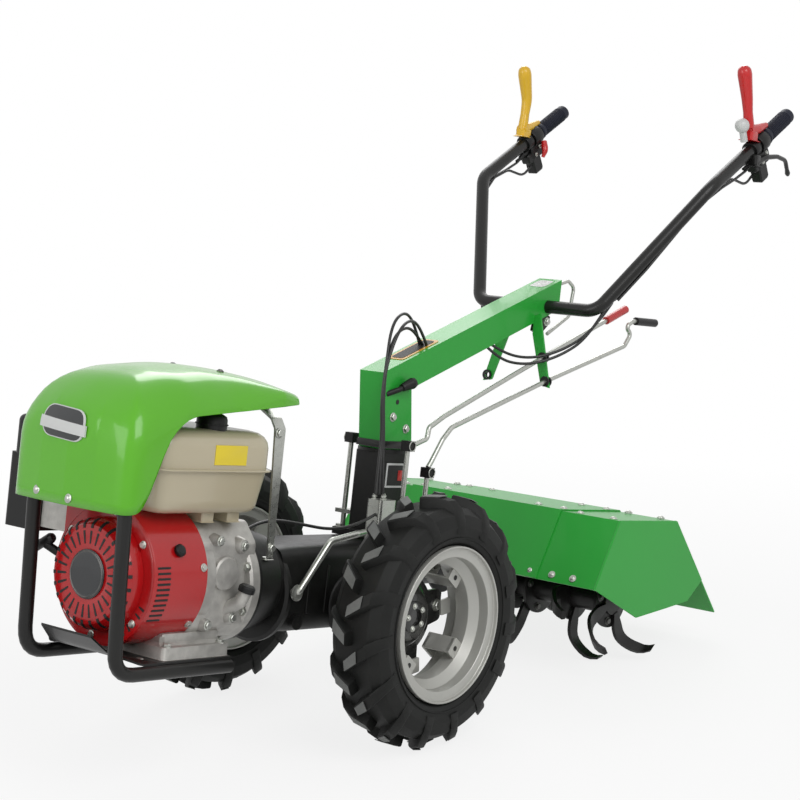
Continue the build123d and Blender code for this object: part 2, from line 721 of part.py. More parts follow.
def bail():
    """The zinc bail that locks the handlebar's height."""
    y = COLUMN_HALF_WIDTH - ARM_WALL - SEAT_GAP - 4
    return bent_bar(
        [(-640, y, 548), (-716, y, 592), (-724, y, 656), (-700, y, 668), (-672, y, 660), (-650, y, 650)],
        [12, 14, 12, 8],
        4,
    )


def height_sector():
    """The toothed plate on the cross tube, inside the arm's end."""
    outline = [(-622, 606), (-674, 586), (-668, 566), (-652, 552), (-632, 546), (-612, 552)]
    plate = side_plate(outline, -3, 3)
    return plate - rod_y(-5, 5, BAR_AXIS_X, BAR_AXIS_Z, BAR_RADIUS)


def tiller_line():
    """The outline of the tine cover from its front foot over the top to the rear."""
    return [(-444, 50), (-511, 188), (-735, 185), (-801, 120)]


def tiller_case():
    """The drive casing from the gear casing down to the rotor."""
    flange = rod_x(GEARBOX_REAR - SEAT_GAP, GEARBOX_REAR - 18, 0, CASE_AXIS_Z, CASE_FLANGE_RADIUS)
    neck = rod_x(GEARBOX_REAR - 10, CASE_STEP_X, 0, CASE_AXIS_Z, CASE_RADIUS)
    (ax, az), (bx, bz) = tiller_line()[1:3]
    drop = TILLER_SHEET + 2 * SEAT_GAP
    fall = (az - bz) / (ax - bx)
    front, rear, top = -530, -700, az - drop + fall * (-700 - ax)
    saddle = side_plate([(rear, top), (rear, top - 8), (front, top - 8), (front, az - drop + fall * (front - ax))], -70, 70)
    leg = block((ROTOR_X - 58, ROTOR_X + 58), (-CASE_HALF_WIDTH, CASE_HALF_WIDTH), (ROTOR_Z, top - 4))
    arm = block((ROTOR_X, CASE_STEP_X), (-CASE_HALF_WIDTH, CASE_HALF_WIDTH), (30, 98))
    foot = rod_y(-CASE_HALF_WIDTH, CASE_HALF_WIDTH, ROTOR_X, ROTOR_Z, 58)
    body = flange + neck + arm + saddle + leg + foot
    return body - rod_y(-60, 60, ROTOR_X, ROTOR_Z, ROTOR_TUBE_RADIUS + AXLE_CLEARANCE)


def tiller_hood():
    """The green sheet over the tines: its centre section, then the two wings with end plates."""
    line = tiller_line()
    opening = rod_x(-400, -560, 0, CASE_AXIS_Z, CASE_RADIUS + 3)
    opening += block((-560, -400), (-CASE_RADIUS - 3, CASE_RADIUS + 3), (0, CASE_AXIS_Z))
    wings = []
    for side in (1, -1):
        inner = side * (TILLER_CENTRE_HALF_WIDTH - 20)
        outer = side * TILLER_HALF_WIDTH
        wing = side_plate(thick_line(line, TILLER_SHEET), *sorted((inner, outer)))
        end = line[:3] + [(-866, 56), (-813, 12), (-732, 1), (-612, -14)]
        plate = side_plate(end, *sorted((outer - side * TILLER_SHEET, outer)))
        wings.append(wing + plate)
    half = TILLER_CENTRE_HALF_WIDTH
    over = shifted_line(line, -TILLER_SHEET - SEAT_GAP)
    centre = side_plate(thick_line(over, TILLER_SHEET), -half, half)
    inner = half - 20 - SEAT_GAP
    bridge = side_plate(thick_line(shifted_line(line, -SEAT_GAP), TILLER_SHEET), -inner, inner)
    return centre + bridge - opening, wings


def rear_flap():
    """The hinged flap behind the tines."""
    line = [FLAP_HINGE, (-946, -20)]
    flap = side_plate(thick_line(line, -3.0), -TILLER_HALF_WIDTH + 6, TILLER_HALF_WIDTH - 6)
    return flap + rod_y(-TILLER_HALF_WIDTH + 6, TILLER_HALF_WIDTH - 6, *FLAP_HINGE, FLAP_KNUCKLE)


def tine(y, out, reach):
    """One flat blade that points down from a flange and turns sideways at its end."""
    near = y + out * 4
    far = near + out * TINE_SHEET
    tip = near + out * reach
    bottom = -TINE_RADIUS
    outline = [(near, -36), (far, -36), (far, -102), (tip, bottom + TINE_SHEET), (tip, bottom), (near, -110)]
    return front_plate(outline, -TINE_HALF_WIDTH, TINE_HALF_WIDTH)


def tine_rotor():
    """The rotor tube with its flanges and bent tines."""
    reel = rod_y(-FLANGE_Y[-1] - 10, FLANGE_Y[-1] + 10, 0, 0, ROTOR_TUBE_RADIUS)
    for side in (1, -1):
        for k, y in enumerate(FLANGE_Y):
            reel += rod_y(side * y - 4, side * y + 4, 0, 0, 58)
            turn = STANCE_DEG + TINE_STAGGER * (k - 1.5)
            out = side if k else -side
            reach = TINE_REACH if k else TINE_REACH - 14
            for i in range(TINES_PER_FLANGE):
                reel += Rot(0, turn + 360 / TINES_PER_FLANGE * i, 0) * tine(side * y, out, reach)
    return Pos(ROTOR_X, 0, ROTOR_Z) * reel


def build():
    """Every node by name, in the machine's frame."""
    parts = {}
    wheel = {"tyre": tyre(), "rim": rim(), "wheel_disc": Pos(0, -DISC_OFFSET, 0) * disc()}
    for name, shape in wheel.items():
        left = Pos(0, TRACK / 2, TYRE_RADIUS) * shape
        parts[f"{name}_left"] = left
        parts[f"{name}_right"] = mirror(left, about=Plane.XZ)
    centre, wings = tiller_hood()
    red = top_lever()
    chassis = {
        "gearbox": [gearbox()],
        "bell_housing": [bell_housing()],
        "post": [post()],
        "gear_cover": [gear_cover()],
        "gear_linkage": gear_linkage(),
        "crankcase": [crankcase()],
        "cylinder": [cylinder()],
        "fan_shroud": [fan_shroud()],
        "recoil_cover": [recoil_cover()],
        "recoil_handle": [recoil_handle()],
        "air_cleaner": [air_cleaner()],
        "muffler": [muffler()],
        "carburettor": [carburettor()],
        "fuel_tank": [fuel_tank()],
        "fuel_cap": [rod_z(TANK_TOP, TANK_TOP + CAP_HEIGHT, 411, 70, CAP_RADIUS)],
        "hood": [hood()],
        "hood_bracket": [hood_bracket()],
        "bumper": [bumper()],
        "skid_plate": [skid_plate()],
        "tiller_case": [tiller_case()],
        "tiller_hood": [centre],
        "tiller_wings": wings,
        "tine_rotor": [tine_rotor()],
        "column": [column()],
        "rod_brackets": rod_brackets(),
        "rod_fittings": rod_fittings(),
        "shift_rods": shift_rods(),
        "upper_rod_grip": [rod_grip((-884, 60, 622.6), (-808, 60.8, 591.8)) - shift_rods()[0]],
        "handlebars": [handlebars()],
        "grips": grips(),
        "control_blocks": control_blocks(),
        "red_lever": [red],
        "yellow_lever": [mirror(red, about=Plane.XZ)],
        "hand_lever": [hand_lever()],
        "bail": [bail()],
        "height_sector": [height_sector()],
        "rear_flap": [rear_flap()],
    }
    for name, solids in chassis.items():
        placed = [STANCE * solid for solid in solids]
        parts[name] = placed[0] if len(placed) == 1 else Compound(children=placed)
    return parts


def rod_grip(start, end):
    """A round grip over a shift rod's end, still without its bore."""
    return straight_bar(start, end, 9)


def write_parts(parts):
    """Shift the whole machine so that its box stands centred on the origin, and write it."""
    boxes = [shape.bounding_box() for shape in parts.values()]
    low = [min(getattr(box.min, axis) for box in boxes) for axis in "XYZ"]
    high = [max(getattr(box.max, axis) for box in boxes) for axis in "XYZ"]
    shift = Pos(-(low[0] + high[0]) / 2, -(low[1] + high[1]) / 2, -low[2])
    print("stance", round(STANCE_DEG, 3), "axle x", round(shift.position.X, 2), "lift", round(shift.position.Z, 3))
    os.makedirs("parts", exist_ok=True)
    for name, shape in parts.items():
        export_step(shift * shape, f"parts/{name}.step")


write_parts(build())
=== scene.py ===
"""Dresses the hand tractor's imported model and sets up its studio.

The machine is drawn level, in millimetres, with the wheel axle as the origin, X forward, Y to the
operator's left and Z up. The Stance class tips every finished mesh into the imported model's frame.
"""

import json
import logging
import math
from dataclasses import dataclass
from enum import Enum
from typing import ClassVar, Sequence

import bmesh
import bpy
from mathutils import Matrix, Vector


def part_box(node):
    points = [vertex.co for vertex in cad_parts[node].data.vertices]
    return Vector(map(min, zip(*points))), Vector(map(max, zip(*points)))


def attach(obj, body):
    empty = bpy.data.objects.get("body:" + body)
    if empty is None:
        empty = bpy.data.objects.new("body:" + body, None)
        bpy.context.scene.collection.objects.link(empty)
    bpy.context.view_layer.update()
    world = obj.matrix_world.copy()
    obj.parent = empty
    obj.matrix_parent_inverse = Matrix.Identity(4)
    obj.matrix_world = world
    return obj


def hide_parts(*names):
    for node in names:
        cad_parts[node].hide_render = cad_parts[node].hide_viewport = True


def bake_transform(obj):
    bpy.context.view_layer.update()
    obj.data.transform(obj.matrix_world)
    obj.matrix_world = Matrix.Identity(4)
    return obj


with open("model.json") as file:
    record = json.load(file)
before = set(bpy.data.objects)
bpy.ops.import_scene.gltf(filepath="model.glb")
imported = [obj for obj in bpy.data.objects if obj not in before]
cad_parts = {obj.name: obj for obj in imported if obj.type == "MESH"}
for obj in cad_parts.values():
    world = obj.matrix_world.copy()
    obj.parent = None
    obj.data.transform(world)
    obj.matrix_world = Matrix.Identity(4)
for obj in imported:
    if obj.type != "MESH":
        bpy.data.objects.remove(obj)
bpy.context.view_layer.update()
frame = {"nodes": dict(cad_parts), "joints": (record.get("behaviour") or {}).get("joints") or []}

LOG = logging.getLogger("hand_tractor")
Point = tuple[float, float, float]
Flat = tuple[float, float]
MM = 0.001


class Body(Enum):
    """The rigid bodies that pieces ride on."""

    CHASSIS = "chassis"
    WHEEL_LEFT = "wheel_left"
    WHEEL_RIGHT = "wheel_right"
    ROTOR = "tine_rotor"
    COLUMN = "column"
    HANDLEBAR = "handlebar"
    FLAP = "rear_flap"


class Grain(Enum):
    """The kinds of surface that a finish can have."""

    PAINT = "paint"
    CAST = "cast"
    PLATED = "plated"
    MOULDED = "moulded"
    TREAD = "tread"


class Stance:
    """Turns the level machine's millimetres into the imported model's metres."""

    def __init__(self) -> None:
        """Reads the axle's place and the machine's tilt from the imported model."""
        low, high = (Vector(corner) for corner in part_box("rim_left"))
        swivel = next(j for j in frame["joints"] if j["name"] == "column_swivel")
        lean = Vector(swivel["axis"])
        self.pitch = math.atan2(-lean.x, lean.z)
        middle = (low + high) / 2
        self.axle = Vector((middle.x, 0.0, middle.z))
        turn = Matrix.Rotation(-self.pitch, 4, "Y")
        self.matrix = Matrix.Translation(self.axle) @ turn @ Matrix.Scale(MM, 4)


class Graph:
    """Adds nodes to one shader or geometry tree."""

    def __init__(self, tree: bpy.types.NodeTree) -> None:
        """Keeps the tree that the nodes go into."""
        self.tree = tree

    def node(self, kind: str, settings: dict | None = None, values: dict | None = None) -> bpy.types.Node:
        """Adds one node.

        Args:
            kind: The node's Blender type.
            settings: Attributes that are set before any socket.
            values: Socket names or numbers, with a value, a Tone or a socket to link.

        Returns:
            The new node.
        """
        made = self.tree.nodes.new(kind)
        for name, value in (settings or {}).items():
            if name == "stops":
                self._ramp(made.color_ramp, value)
            else:
                setattr(made, name, value)
        for key, value in (values or {}).items():
            self.feed(made.inputs[key], value)
        return made

    def feed(self, socket: bpy.types.NodeSocket, value: object) -> None:
        """Links a Tone or socket to an input, or sets the input's own value."""
        source = value.socket if isinstance(value, Tone) else value
        if isinstance(source, bpy.types.NodeSocket):
            self.tree.links.new(source, socket)
        else:
            socket.default_value = source

    @staticmethod
    def _ramp(ramp: bpy.types.ColorRamp, stops: Sequence[tuple[float, float]]) -> None:
        """Sets a ramp's stops from pairs of position and grey level."""
        while len(ramp.elements) < len(stops):
            ramp.elements.new(0.5)
        for element, (place, level) in zip(ramp.elements, stops):
            element.position = place
            element.color = (level, level, level, 1.0)


@dataclass(frozen=True)
class Tone:
    """One number socket of a shader tree that can be used in sums."""

    graph: Graph
    socket: bpy.types.NodeSocket

    def _math(self, operation: str, left: object, right: object) -> "Tone":
        """Adds one Math node for two operands."""
        made = self.graph.node("ShaderNodeMath", {"operation": operation}, {0: left, 1: right})
        return Tone(self.graph, made.outputs[0])

    def __add__(self, other: "Tone | float") -> "Tone":
        """Sum."""
        return self._math("ADD", self, other)

    def __sub__(self, other: "Tone | float") -> "Tone":
        """Difference."""
        return self._math("SUBTRACT", self, other)

    def __rsub__(self, other: float) -> "Tone":
        """Difference from a number."""
        return self._math("SUBTRACT", other, self)

    def __mul__(self, other: "Tone | float") -> "Tone":
        """Product."""
        return self._math("MULTIPLY", self, other)

    def ramp(self, *stops: tuple[float, float]) -> "Tone":
        """The number passed through a grey ramp."""
        made = self.graph.node("ShaderNodeValToRGB", {"stops": stops}, {0: self})
        return Tone(self.graph, made.outputs[0])

    def blend(self, low: Point, high: Point) -> bpy.types.NodeSocket:
        """A colour between two colours, chosen by the number."""
        values = {0: self, 6: (*low, 1.0), 7: (*high, 1.0)}
        made = self.graph.node("ShaderNodeMix", {"data_type": "RGBA"}, values)
        return made.outputs[2]


@dataclass(frozen=True)
class Finish:
    """One surface finish of the machine.

    Attributes:
        name: The material's name.
        slot: The record's material slot; not used.
        grain: The kind of surface.
        colour: Its main colour, linear.
        second: The colour that it varies towards.
        rough: Its roughness.
        metal: How metallic it is.
        coat: The weight of its clear coat.
        sheen: Its specular level.
        scale: Bumps to a metre.
        relief: The depth of its bumps in metres.
    """

    name: str
    slot: str
    grain: Grain
    colour: Point
    second: Point
    rough: float
    metal: float = 0.0
    coat: float = 0.0
    sheen: float = 0.5
    scale: float = 900.0
    relief: float = 0.0001

    def material(self) -> bpy.types.Material:
        """The finish's material, made once.

        Returns:
            The Blender material.
        """
        known = bpy.data.materials.get(self.name)
        if known:
            return known
        made = bpy.data.materials.new(self.name)
        made.use_nodes = True
        made.diffuse_color = (*self.colour, 1.0)
        tree = made.node_tree
        graph = Graph(tree)
        shader = tree.nodes["Principled BSDF"]
        place = graph.node("ShaderNodeTexCoord").outputs["Object"]
        cloud = self._noise(graph, place, self.cloud_scale(), 3.0)
        fine = self._noise(graph, place, self.scale, 4.0)
        tint = (cloud * 0.7 + fine * 0.3).ramp((0.32, 0.0), (0.68, 1.0))
        graph.feed(shader.inputs["Base Color"], tint.blend(self.colour, self.second))
        spread = 0.16 if self.grain in (Grain.PLATED, Grain.CAST, Grain.TREAD) else 0.07
        graph.feed(shader.inputs["Roughness"], (cloud - 0.5) * spread + (fine - 0.5) * spread + self.rough)
        shader.inputs["Metallic"].default_value = self.metal
        shader.inputs["Coat Weight"].default_value = self.coat
        shader.inputs["Coat Roughness"].default_value = 0.06
        shader.inputs["Specular IOR Level"].default_value = self.sheen
        height = fine if self.grain is not Grain.CAST else fine * 0.6 + cloud * 0.4
        bump = graph.node("ShaderNodeBump", None, {"Strength": 0.6, "Distance": self.relief,
            "Height": height})
        graph.feed(shader.inputs["Normal"], bump.outputs[0])
        return made

    def cloud_scale(self) -> float:
        """The scale of the finish's broad colour change, in spots to a metre."""
        return {Grain.PAINT: 4.0, Grain.CAST: 60.0, Grain.PLATED: 90.0, Grain.MOULDED: 14.0,
            Grain.TREAD: 22.0}[self.grain]

    @staticmethod
    def _noise(graph: Graph, place: bpy.types.NodeSocket, scale: float, detail: float) -> Tone:
        """One noise texture on the object's own coordinates."""
        made = graph.node("ShaderNodeTexNoise", None, {"Vector": place, "Scale": scale, "Detail": detail})
        return Tone(graph, made.outputs["Fac"])


HOOD_GREEN = Finish("hood green", "hood_paint", Grain.PAINT, (0.100, 0.43, 0.010), (0.110, 0.46, 0.012), 0.24,
    coat=0.45, sheen=0.3)
SHEET_GREEN = Finish("sheet green", "green_paint", Grain.PAINT, (0.022, 0.37, 0.040), (0.027, 0.40, 0.046),
    0.34, coat=0.12, sheen=0.3)
RED_PAINT = Finish("shroud red", "red_paint", Grain.PAINT, (0.42, 0.004, 0.006), (0.47, 0.006, 0.008), 0.25,
    coat=0.45, sheen=0.35)
BLACK_PAINT = Finish("satin black", "black_paint", Grain.PAINT, (0.008, 0.008, 0.008), (0.012, 0.012, 0.011),
    0.34, coat=0.1, sheen=0.3)
BLACK_IRON = Finish("black iron", "black_iron", Grain.CAST, (0.006, 0.006, 0.006), (0.011, 0.011, 0.010),
    0.42, sheen=0.3, scale=420.0, relief=0.0004)
TINE_BLACK = Finish("tine black", "tine_steel", Grain.CAST, (0.007, 0.007, 0.007), (0.014, 0.013, 0.012),
    0.38, sheen=0.35, scale=240.0)
ALLOY = Finish("cast alloy", "engine_alloy", Grain.CAST, (0.36, 0.35, 0.33), (0.50, 0.49, 0.46), 0.46,
    metal=0.55, scale=520.0, relief=0.0005)
ZINC = Finish("zinc plate", "zinc", Grain.PLATED, (0.44, 0.45, 0.42), (0.53, 0.54, 0.50), 0.30, metal=0.85,
    scale=700.0, relief=0.00004)
DULL_STEEL = Finish("dull steel", "dark_steel", Grain.PLATED, (0.10, 0.10, 0.10), (0.17, 0.165, 0.155), 0.45,
    metal=0.7)
RIM_SILVER = Finish("rim silver", "rim_paint", Grain.PAINT, (0.42, 0.42, 0.39), (0.50, 0.50, 0.47), 0.36,
    metal=0.35, scale=1400.0)
TANK_BEIGE = Finish("tank beige", "tank_shell", Grain.PAINT, (0.50, 0.44, 0.31), (0.53, 0.47, 0.33), 0.30,
    coat=0.45)
BLACK_MOULDING = Finish("black moulding", "black_plastic", Grain.MOULDED, (0.006, 0.006, 0.006),
    (0.010, 0.010, 0.010), 0.42, sheen=0.3)
RED_MOULDING = Finish("red moulding", "red_plastic", Grain.MOULDED, (0.55, 0.008, 0.010),
    (0.60, 0.012, 0.012), 0.30, coat=0.3)
YELLOW_MOULDING = Finish("yellow moulding", "yellow_plastic", Grain.MOULDED, (0.78, 0.45, 0.01),
    (0.83, 0.50, 0.015), 0.30, coat=0.3)
GRIP_BLUE = Finish("grip rubber", "grip_rubber", Grain.MOULDED, (0.007, 0.009, 0.020), (0.012, 0.015, 0.030),
    0.48, sheen=0.3)
TYRE_BLACK = Finish("tyre rubber", "tyre", Grain.TREAD, (0.007, 0.0075, 0.007), (0.014, 0.0145, 0.0135), 0.56,
    sheen=0.22, scale=380.0, relief=0.0003)

# Pale grey for the lug tops: a painted highlight, the light on the tread painted as colour.
TYRE_PAINTED_HIGHLIGHT = Finish("worn lug tops", "tyre", Grain.TREAD, (0.10, 0.105, 0.10), (0.17, 0.175, 0.17), 0.6,
    scale=300.0)
BLACK_GLOSS = Finish("gloss black", "black_iron", Grain.PAINT, (0.010, 0.010, 0.010), (0.015, 0.015, 0.015),
    0.2, coat=0.5)
# Near-black for slots, vents and holes drawn as dark pieces of painted shade, and for one black printed
# field.
BLACK_SHADE_AND_PRINT = Finish("slot black", "black_plastic", Grain.MOULDED, (0.004, 0.004, 0.004),
    (0.006, 0.006, 0.006), 0.6)
BADGE_BLACK = Finish("blank badge", "black_plastic", Grain.PAINT, (0.012, 0.014, 0.016),
    (0.016, 0.018, 0.020), 0.25, coat=0.4)
PLATE_PALE = Finish("pale blank plate", "black_plastic", Grain.PAINT, (0.60, 0.61, 0.60), (0.64, 0.65, 0.64),
    0.35)
PLATE_YELLOW = Finish("yellow blank plate", "yellow_plastic", Grain.PAINT, (0.80, 0.62, 0.03),
    (0.84, 0.66, 0.04), 0.35)
PLATE_RED = Finish("red blank patch", "red_plastic", Grain.PAINT, (0.55, 0.02, 0.015), (0.60, 0.03, 0.02),
    0.35)
SLOT_ORANGE = Finish("orange slot liner", "yellow_plastic", Grain.MOULDED, (0.62, 0.30, 0.02),
    (0.70, 0.36, 0.03), 0.4)
CABLE_BLACK = Finish("cable sheath", "black_plastic", Grain.MOULDED, (0.008, 0.008, 0.008),
    (0.013, 0.013, 0.013), 0.35)
SHARP_ANGLE = math.radians(32.0)
SLIGHT_TURN = 0.88
SIDE_SHARE = 0.49
TREAD_RADIUS = 235.0
SPLINE_SHARE = 0.975
ROTOR_AXIS = (-625, 0, 10)
ROTOR_PHASE = 9.675

NODE_FINISHES = {
    HOOD_GREEN: ("hood",),
    SHEET_GREEN: ("column", "rod_brackets", "tiller_hood", "tiller_wings", "rear_flap"),
    RED_PAINT: ("fan_shroud",),
    BLACK_PAINT: ("bumper", "skid_plate", "handlebars", "hand_lever", "height_sector"),
    BLACK_IRON: ("gearbox", "post", "tiller_case", "wheel_disc_left", "wheel_disc_right"),
    TINE_BLACK: ("tine_rotor",),
    ALLOY: ("crankcase", "cylinder", "bell_housing", "carburettor"),
    ZINC: ("hood_bracket", "gear_cover", "gear_linkage", "shift_rods", "bail"),
    DULL_STEEL: ("muffler",),
    RIM_SILVER: ("rim_left", "rim_right"),
    TANK_BEIGE: ("fuel_tank",),
    BLACK_MOULDING: ("recoil_cover", "recoil_handle", "air_cleaner", "fuel_cap", "control_blocks",
        "rod_fittings"),
    RED_MOULDING: ("red_lever", "upper_rod_grip"),
    YELLOW_MOULDING: ("yellow_lever",),
    GRIP_BLUE: ("grips",),
    TYRE_BLACK: ("tyre_left", "tyre_right"),
}


@dataclass
class Stitch:
    """Where a copied item goes and which way its own Z axis points."""

    place: Point
    axis: Point = (0.0, 0.0, 1.0)
    spin: float = 0.0

    def turn(self) -> Sequence[float]:
        """The item's Euler turn."""
        spin = Matrix.Rotation(math.radians(self.spin), 4, "Z").to_quaternion()
        return (Vector(self.axis).to_track_quat("Z", "Y") @ spin).to_euler()


class Workpiece:
    """One mesh in the making, in the level machine's millimetres."""

    def __init__(self) -> None:
        """Starts with an empty mesh."""
        self.mesh = bmesh.new()

    def loft(self, rings: Sequence[Sequence[Sequence[float]]], looped: bool = False,
            capped: bool = True) -> "Workpiece":
        """Joins equal closed rings of points by a skin.

        Args:
            rings: The rings, in order.
            looped: Whether the last ring joins the first.
            capped: Whether open ends get a face.

        Returns:
            The workpiece.
        """
        rows = [[self.mesh.verts.new(point) for point in ring] for ring in rings]
        count = len(rows[0])
        for low, high in list(zip(rows, rows[1:])) + ([(rows[-1], rows[0])] if looped else []):
            for i in range(count):
                j = (i + 1) % count
                self.mesh.faces.new((low[i], low[j], high[j], high[i]))
        if capped and not looped:
            self.mesh.faces.new(rows[0])
            self.mesh.faces.new(rows[-1])
        return self

    def lathe(self, profile: Sequence[Flat], place: Point, axis: Point, steps: int = 48,
            looped: bool = False) -> "Workpiece":
        """Turns a profile about an axis.

        Args:
            profile: Pairs of radius and distance along the axis.
            place: The axis's starting point.
            axis: The axis's direction.
            steps: Points to a turn.
            looped: Whether the profile is a closed loop off the axis.

        Returns:
            The workpiece.
        """
        aim = Matrix.Translation(place) @ Vector(axis).to_track_quat("Z", "Y").to_matrix().to_4x4()
        turns = [math.tau * i / steps for i in range(steps)]
        rings = [[aim @ Vector((r * math.cos(t), r * math.sin(t), h)) for t in turns] for r, h in profile]
        return self.loft(rings, looped)

    def prism(self, outline: Sequence[Flat], plane: str, low: float, high: float,
            bevel: float = 0.0) -> "Workpiece":
        """Thickens an outline.

        Args:
            outline: The outline's points, in the order of the plane's letters.
            plane: XZ, YZ or XY.
            low: The first face's place on the third axis.
            high: The second face's place.
            bevel: The width that its edges are rounded by.

        Returns:
            The workpiece.
        """
        def lifted(a: float, b: float, c: float) -> Point:
            """One point of the solid."""
            return {"XZ": (a, c, b), "YZ": (c, a, b), "XY": (a, b, c)}[plane]

        before = set(self.mesh.edges)
        self.loft([[lifted(a, b, level) for a, b in outline] for level in (low, high)])
        if bevel:
            made = [edge for edge in self.mesh.edges if edge not in before]
            sharp = [e for e in made if len(e.link_faces) == 2 and self._turns(e)]
            bmesh.ops.bevel(self.mesh, geom=sharp, offset=bevel, segments=2, profile=0.5, affect="EDGES",
                clamp_overlap=True)
        return self

    @staticmethod
    def _turns(edge: bmesh.types.BMEdge) -> bool:
        """Whether the two faces of an edge meet at more than a slight angle."""
        one, two = edge.link_faces
        one.normal_update()
        two.normal_update()
        return abs(one.normal.dot(two.normal)) < SLIGHT_TURN

    def block(self, x: Flat, y: Flat, z: Flat, bevel: float = 1.5) -> "Workpiece":
        """A rectangular block between pairs of limits."""
        return self.prism(oblong(x, y), "XY", z[0], z[1], bevel)

    def tube(self, points: Sequence[Point], radius: float | Sequence[Flat], bend: float = 0.0,
            sides: int = 16) -> "Workpiece":
        """A round bar along straight runs with rounded corners.

        Args:
            points: The corners.
            radius: Its radius, or pairs of share of the length and radius.
            bend: The radius of its corners.
            sides: Points round it.

        Returns:
            The workpiece.
        """
        path = soften([Vector(p) for p in points], bend, 6)
        if not isinstance(radius, (int, float)):
            path = split_runs(path, 28)
        length = sum((b - a).length for a, b in zip(path, path[1:]))
        across = (path[1] - path[0]).orthogonal().normalized()
        rings, run = [], 0.0
        for i, point in enumerate(path):
            run += (point - path[i - 1]).length if i else 0.0
            along = (path[min(i + 1, len(path) - 1)] - path[max(i - 1, 0)]).normalized()
            across = (across - along * across.dot(along)).normalized()
            other = along.cross(across)
            size = radius if isinstance(radius, (int, float)) else stepped(radius, run / length)
            turns = [math.tau * k / sides for k in range(sides)]
            rings.append([point + (across * math.cos(t) + other * math.sin(t)) * size for t in turns])
        return self.loft(rings)

    def ball(self, place: Point, radius: float, steps: int = 20) -> "Workpiece":
        """A ball."""
        half = [(radius * math.sin(math.pi * i / 12) + 0.001, -radius * math.cos(math.pi * i / 12))
            for i in range(13)]
        return self.lathe(half, place, (0, 0, 1), steps)

    def add(self, mesh: bpy.types.Mesh) -> "Workpiece":
        """Takes in a plain mesh."""
        self.mesh.from_mesh(mesh)
        return self

    def plain(self, name: str) -> bpy.types.Mesh:
        """Turns the work into a mesh with outward normals and sharp edges marked."""
        bmesh.ops.recalc_face_normals(self.mesh, faces=self.mesh.faces[:])
        for face in self.mesh.faces:
            face.smooth = True
        for edge in self.mesh.edges:
            edge.smooth = len(edge.link_faces) == 2 and edge.calc_face_angle(0.0) < SHARP_ANGLE
        made = bpy.data.meshes.new(name)
        self.mesh.to_mesh(made)
        self.mesh.free()
        return made


def corner_arc(before: Vector, spot: Vector, after: Vector, radius: float, steps: int) -> list[Vector]:
    """The points that round one corner.

    Args:
        before: The point before the corner.
        spot: The corner.
        after: The point after it.
        radius: The radius that is wanted.
        steps: Points in the arc.

    Returns:
        The arc's points.
    """
    back, ahead = before - spot, after - spot
    wanted = radius / max(math.tan(back.angle(ahead) / 2), 1e-3)
    cut = min(wanted, back.length * SIDE_SHARE, ahead.length * SIDE_SHARE)
    start, end = spot + back.normalized() * cut, spot + ahead.normalized() * cut
    shares = [k / steps for k in range(steps + 1)]
    return [start * (1 - t) ** 2 + spot * 2 * t * (1 - t) + end * t ** 2 for t in shares]


def soften(points: Sequence[Vector], bend: float, steps: int) -> list[Vector]:
    """Rounds the corners of a line.

    Args:
        points: The line's corners.
        bend: The radius at each corner.
        steps: Points in each arc.

    Returns:
        The rounded line's points.
    """
    if bend <= 0.0:
        return list(points)
    line = [points[0]]
    for before, corner, after in zip(points, points[1:], points[2:]):
        line += corner_arc(before, corner, after, bend, steps)
    return line + [points[-1]]


def split_runs(path: Sequence[Vector], parts: int) -> list[Vector]:
    """Adds points along a line so that no run is longer than its share of the whole."""
    step = sum((b - a).length for a, b in zip(path, path[1:])) / parts
    line = [path[0]]
    for a, b in zip(path, path[1:]):
        count = max(1, math.ceil((b - a).length / step))
        line += [a.lerp(b, k / count) for k in range(1, count + 1)]
    return line


def rounded(outline: Sequence[Flat], radius: float, steps: int = 5) -> list[Flat]:
    """Rounds every corner of a closed flat outline."""
    ring = []
    spots = [Vector(corner) for corner in outline]
    for before, spot, after in zip(spots[-1:] + spots, spots, spots[1:] + spots[:1]):
        ring += [tuple(point) for point in corner_arc(before, spot, after, radius, steps)]
    return ring


def oblong(x: Flat, y: Flat) -> list[Flat]:
    """The four corners of a rectangle between pairs of limits."""
    return [(x[0], y[0]), (x[1], y[0]), (x[1], y[1]), (x[0], y[1])]


def dotted(ring: Sequence[Flat], span: float, straight: bool = True) -> list[Flat]:
    """Adds points to a closed outline, so that it can bend.

    Args:
        ring: The outline.
        span: About how far apart the points are.
        straight: Whether that is their distance, and not only along the first axis.

    Returns:
        The outline with its added points.
    """
    dense = []
    for a, b in zip(ring, ring[1:] + ring[:1]):
        parts = max(1, round((math.dist(a, b) if straight else abs(b[0] - a[0])) / span))
        dense += [(a[0] + (b[0] - a[0]) * k / parts, a[1] + (b[1] - a[1]) * k / parts) for k in range(parts)]
    return dense


def stepped(table: Sequence[Flat], where: float) -> float:
    """Reads a value between the rows of a table of pairs."""
    for (a, low), (b, high) in zip(table, table[1:]):
        if where <= b:
            return low + (high - low) * max(0.0, where - a) / max(b - a, 1e-9)
    return table[-1][1]


def round_trip(count: int, start: float = 0.0) -> list[float]:
    """Even angles round a turn, in radians, from a start in degrees."""
    return [math.radians(start + 360.0 / count * i) for i in range(count)]


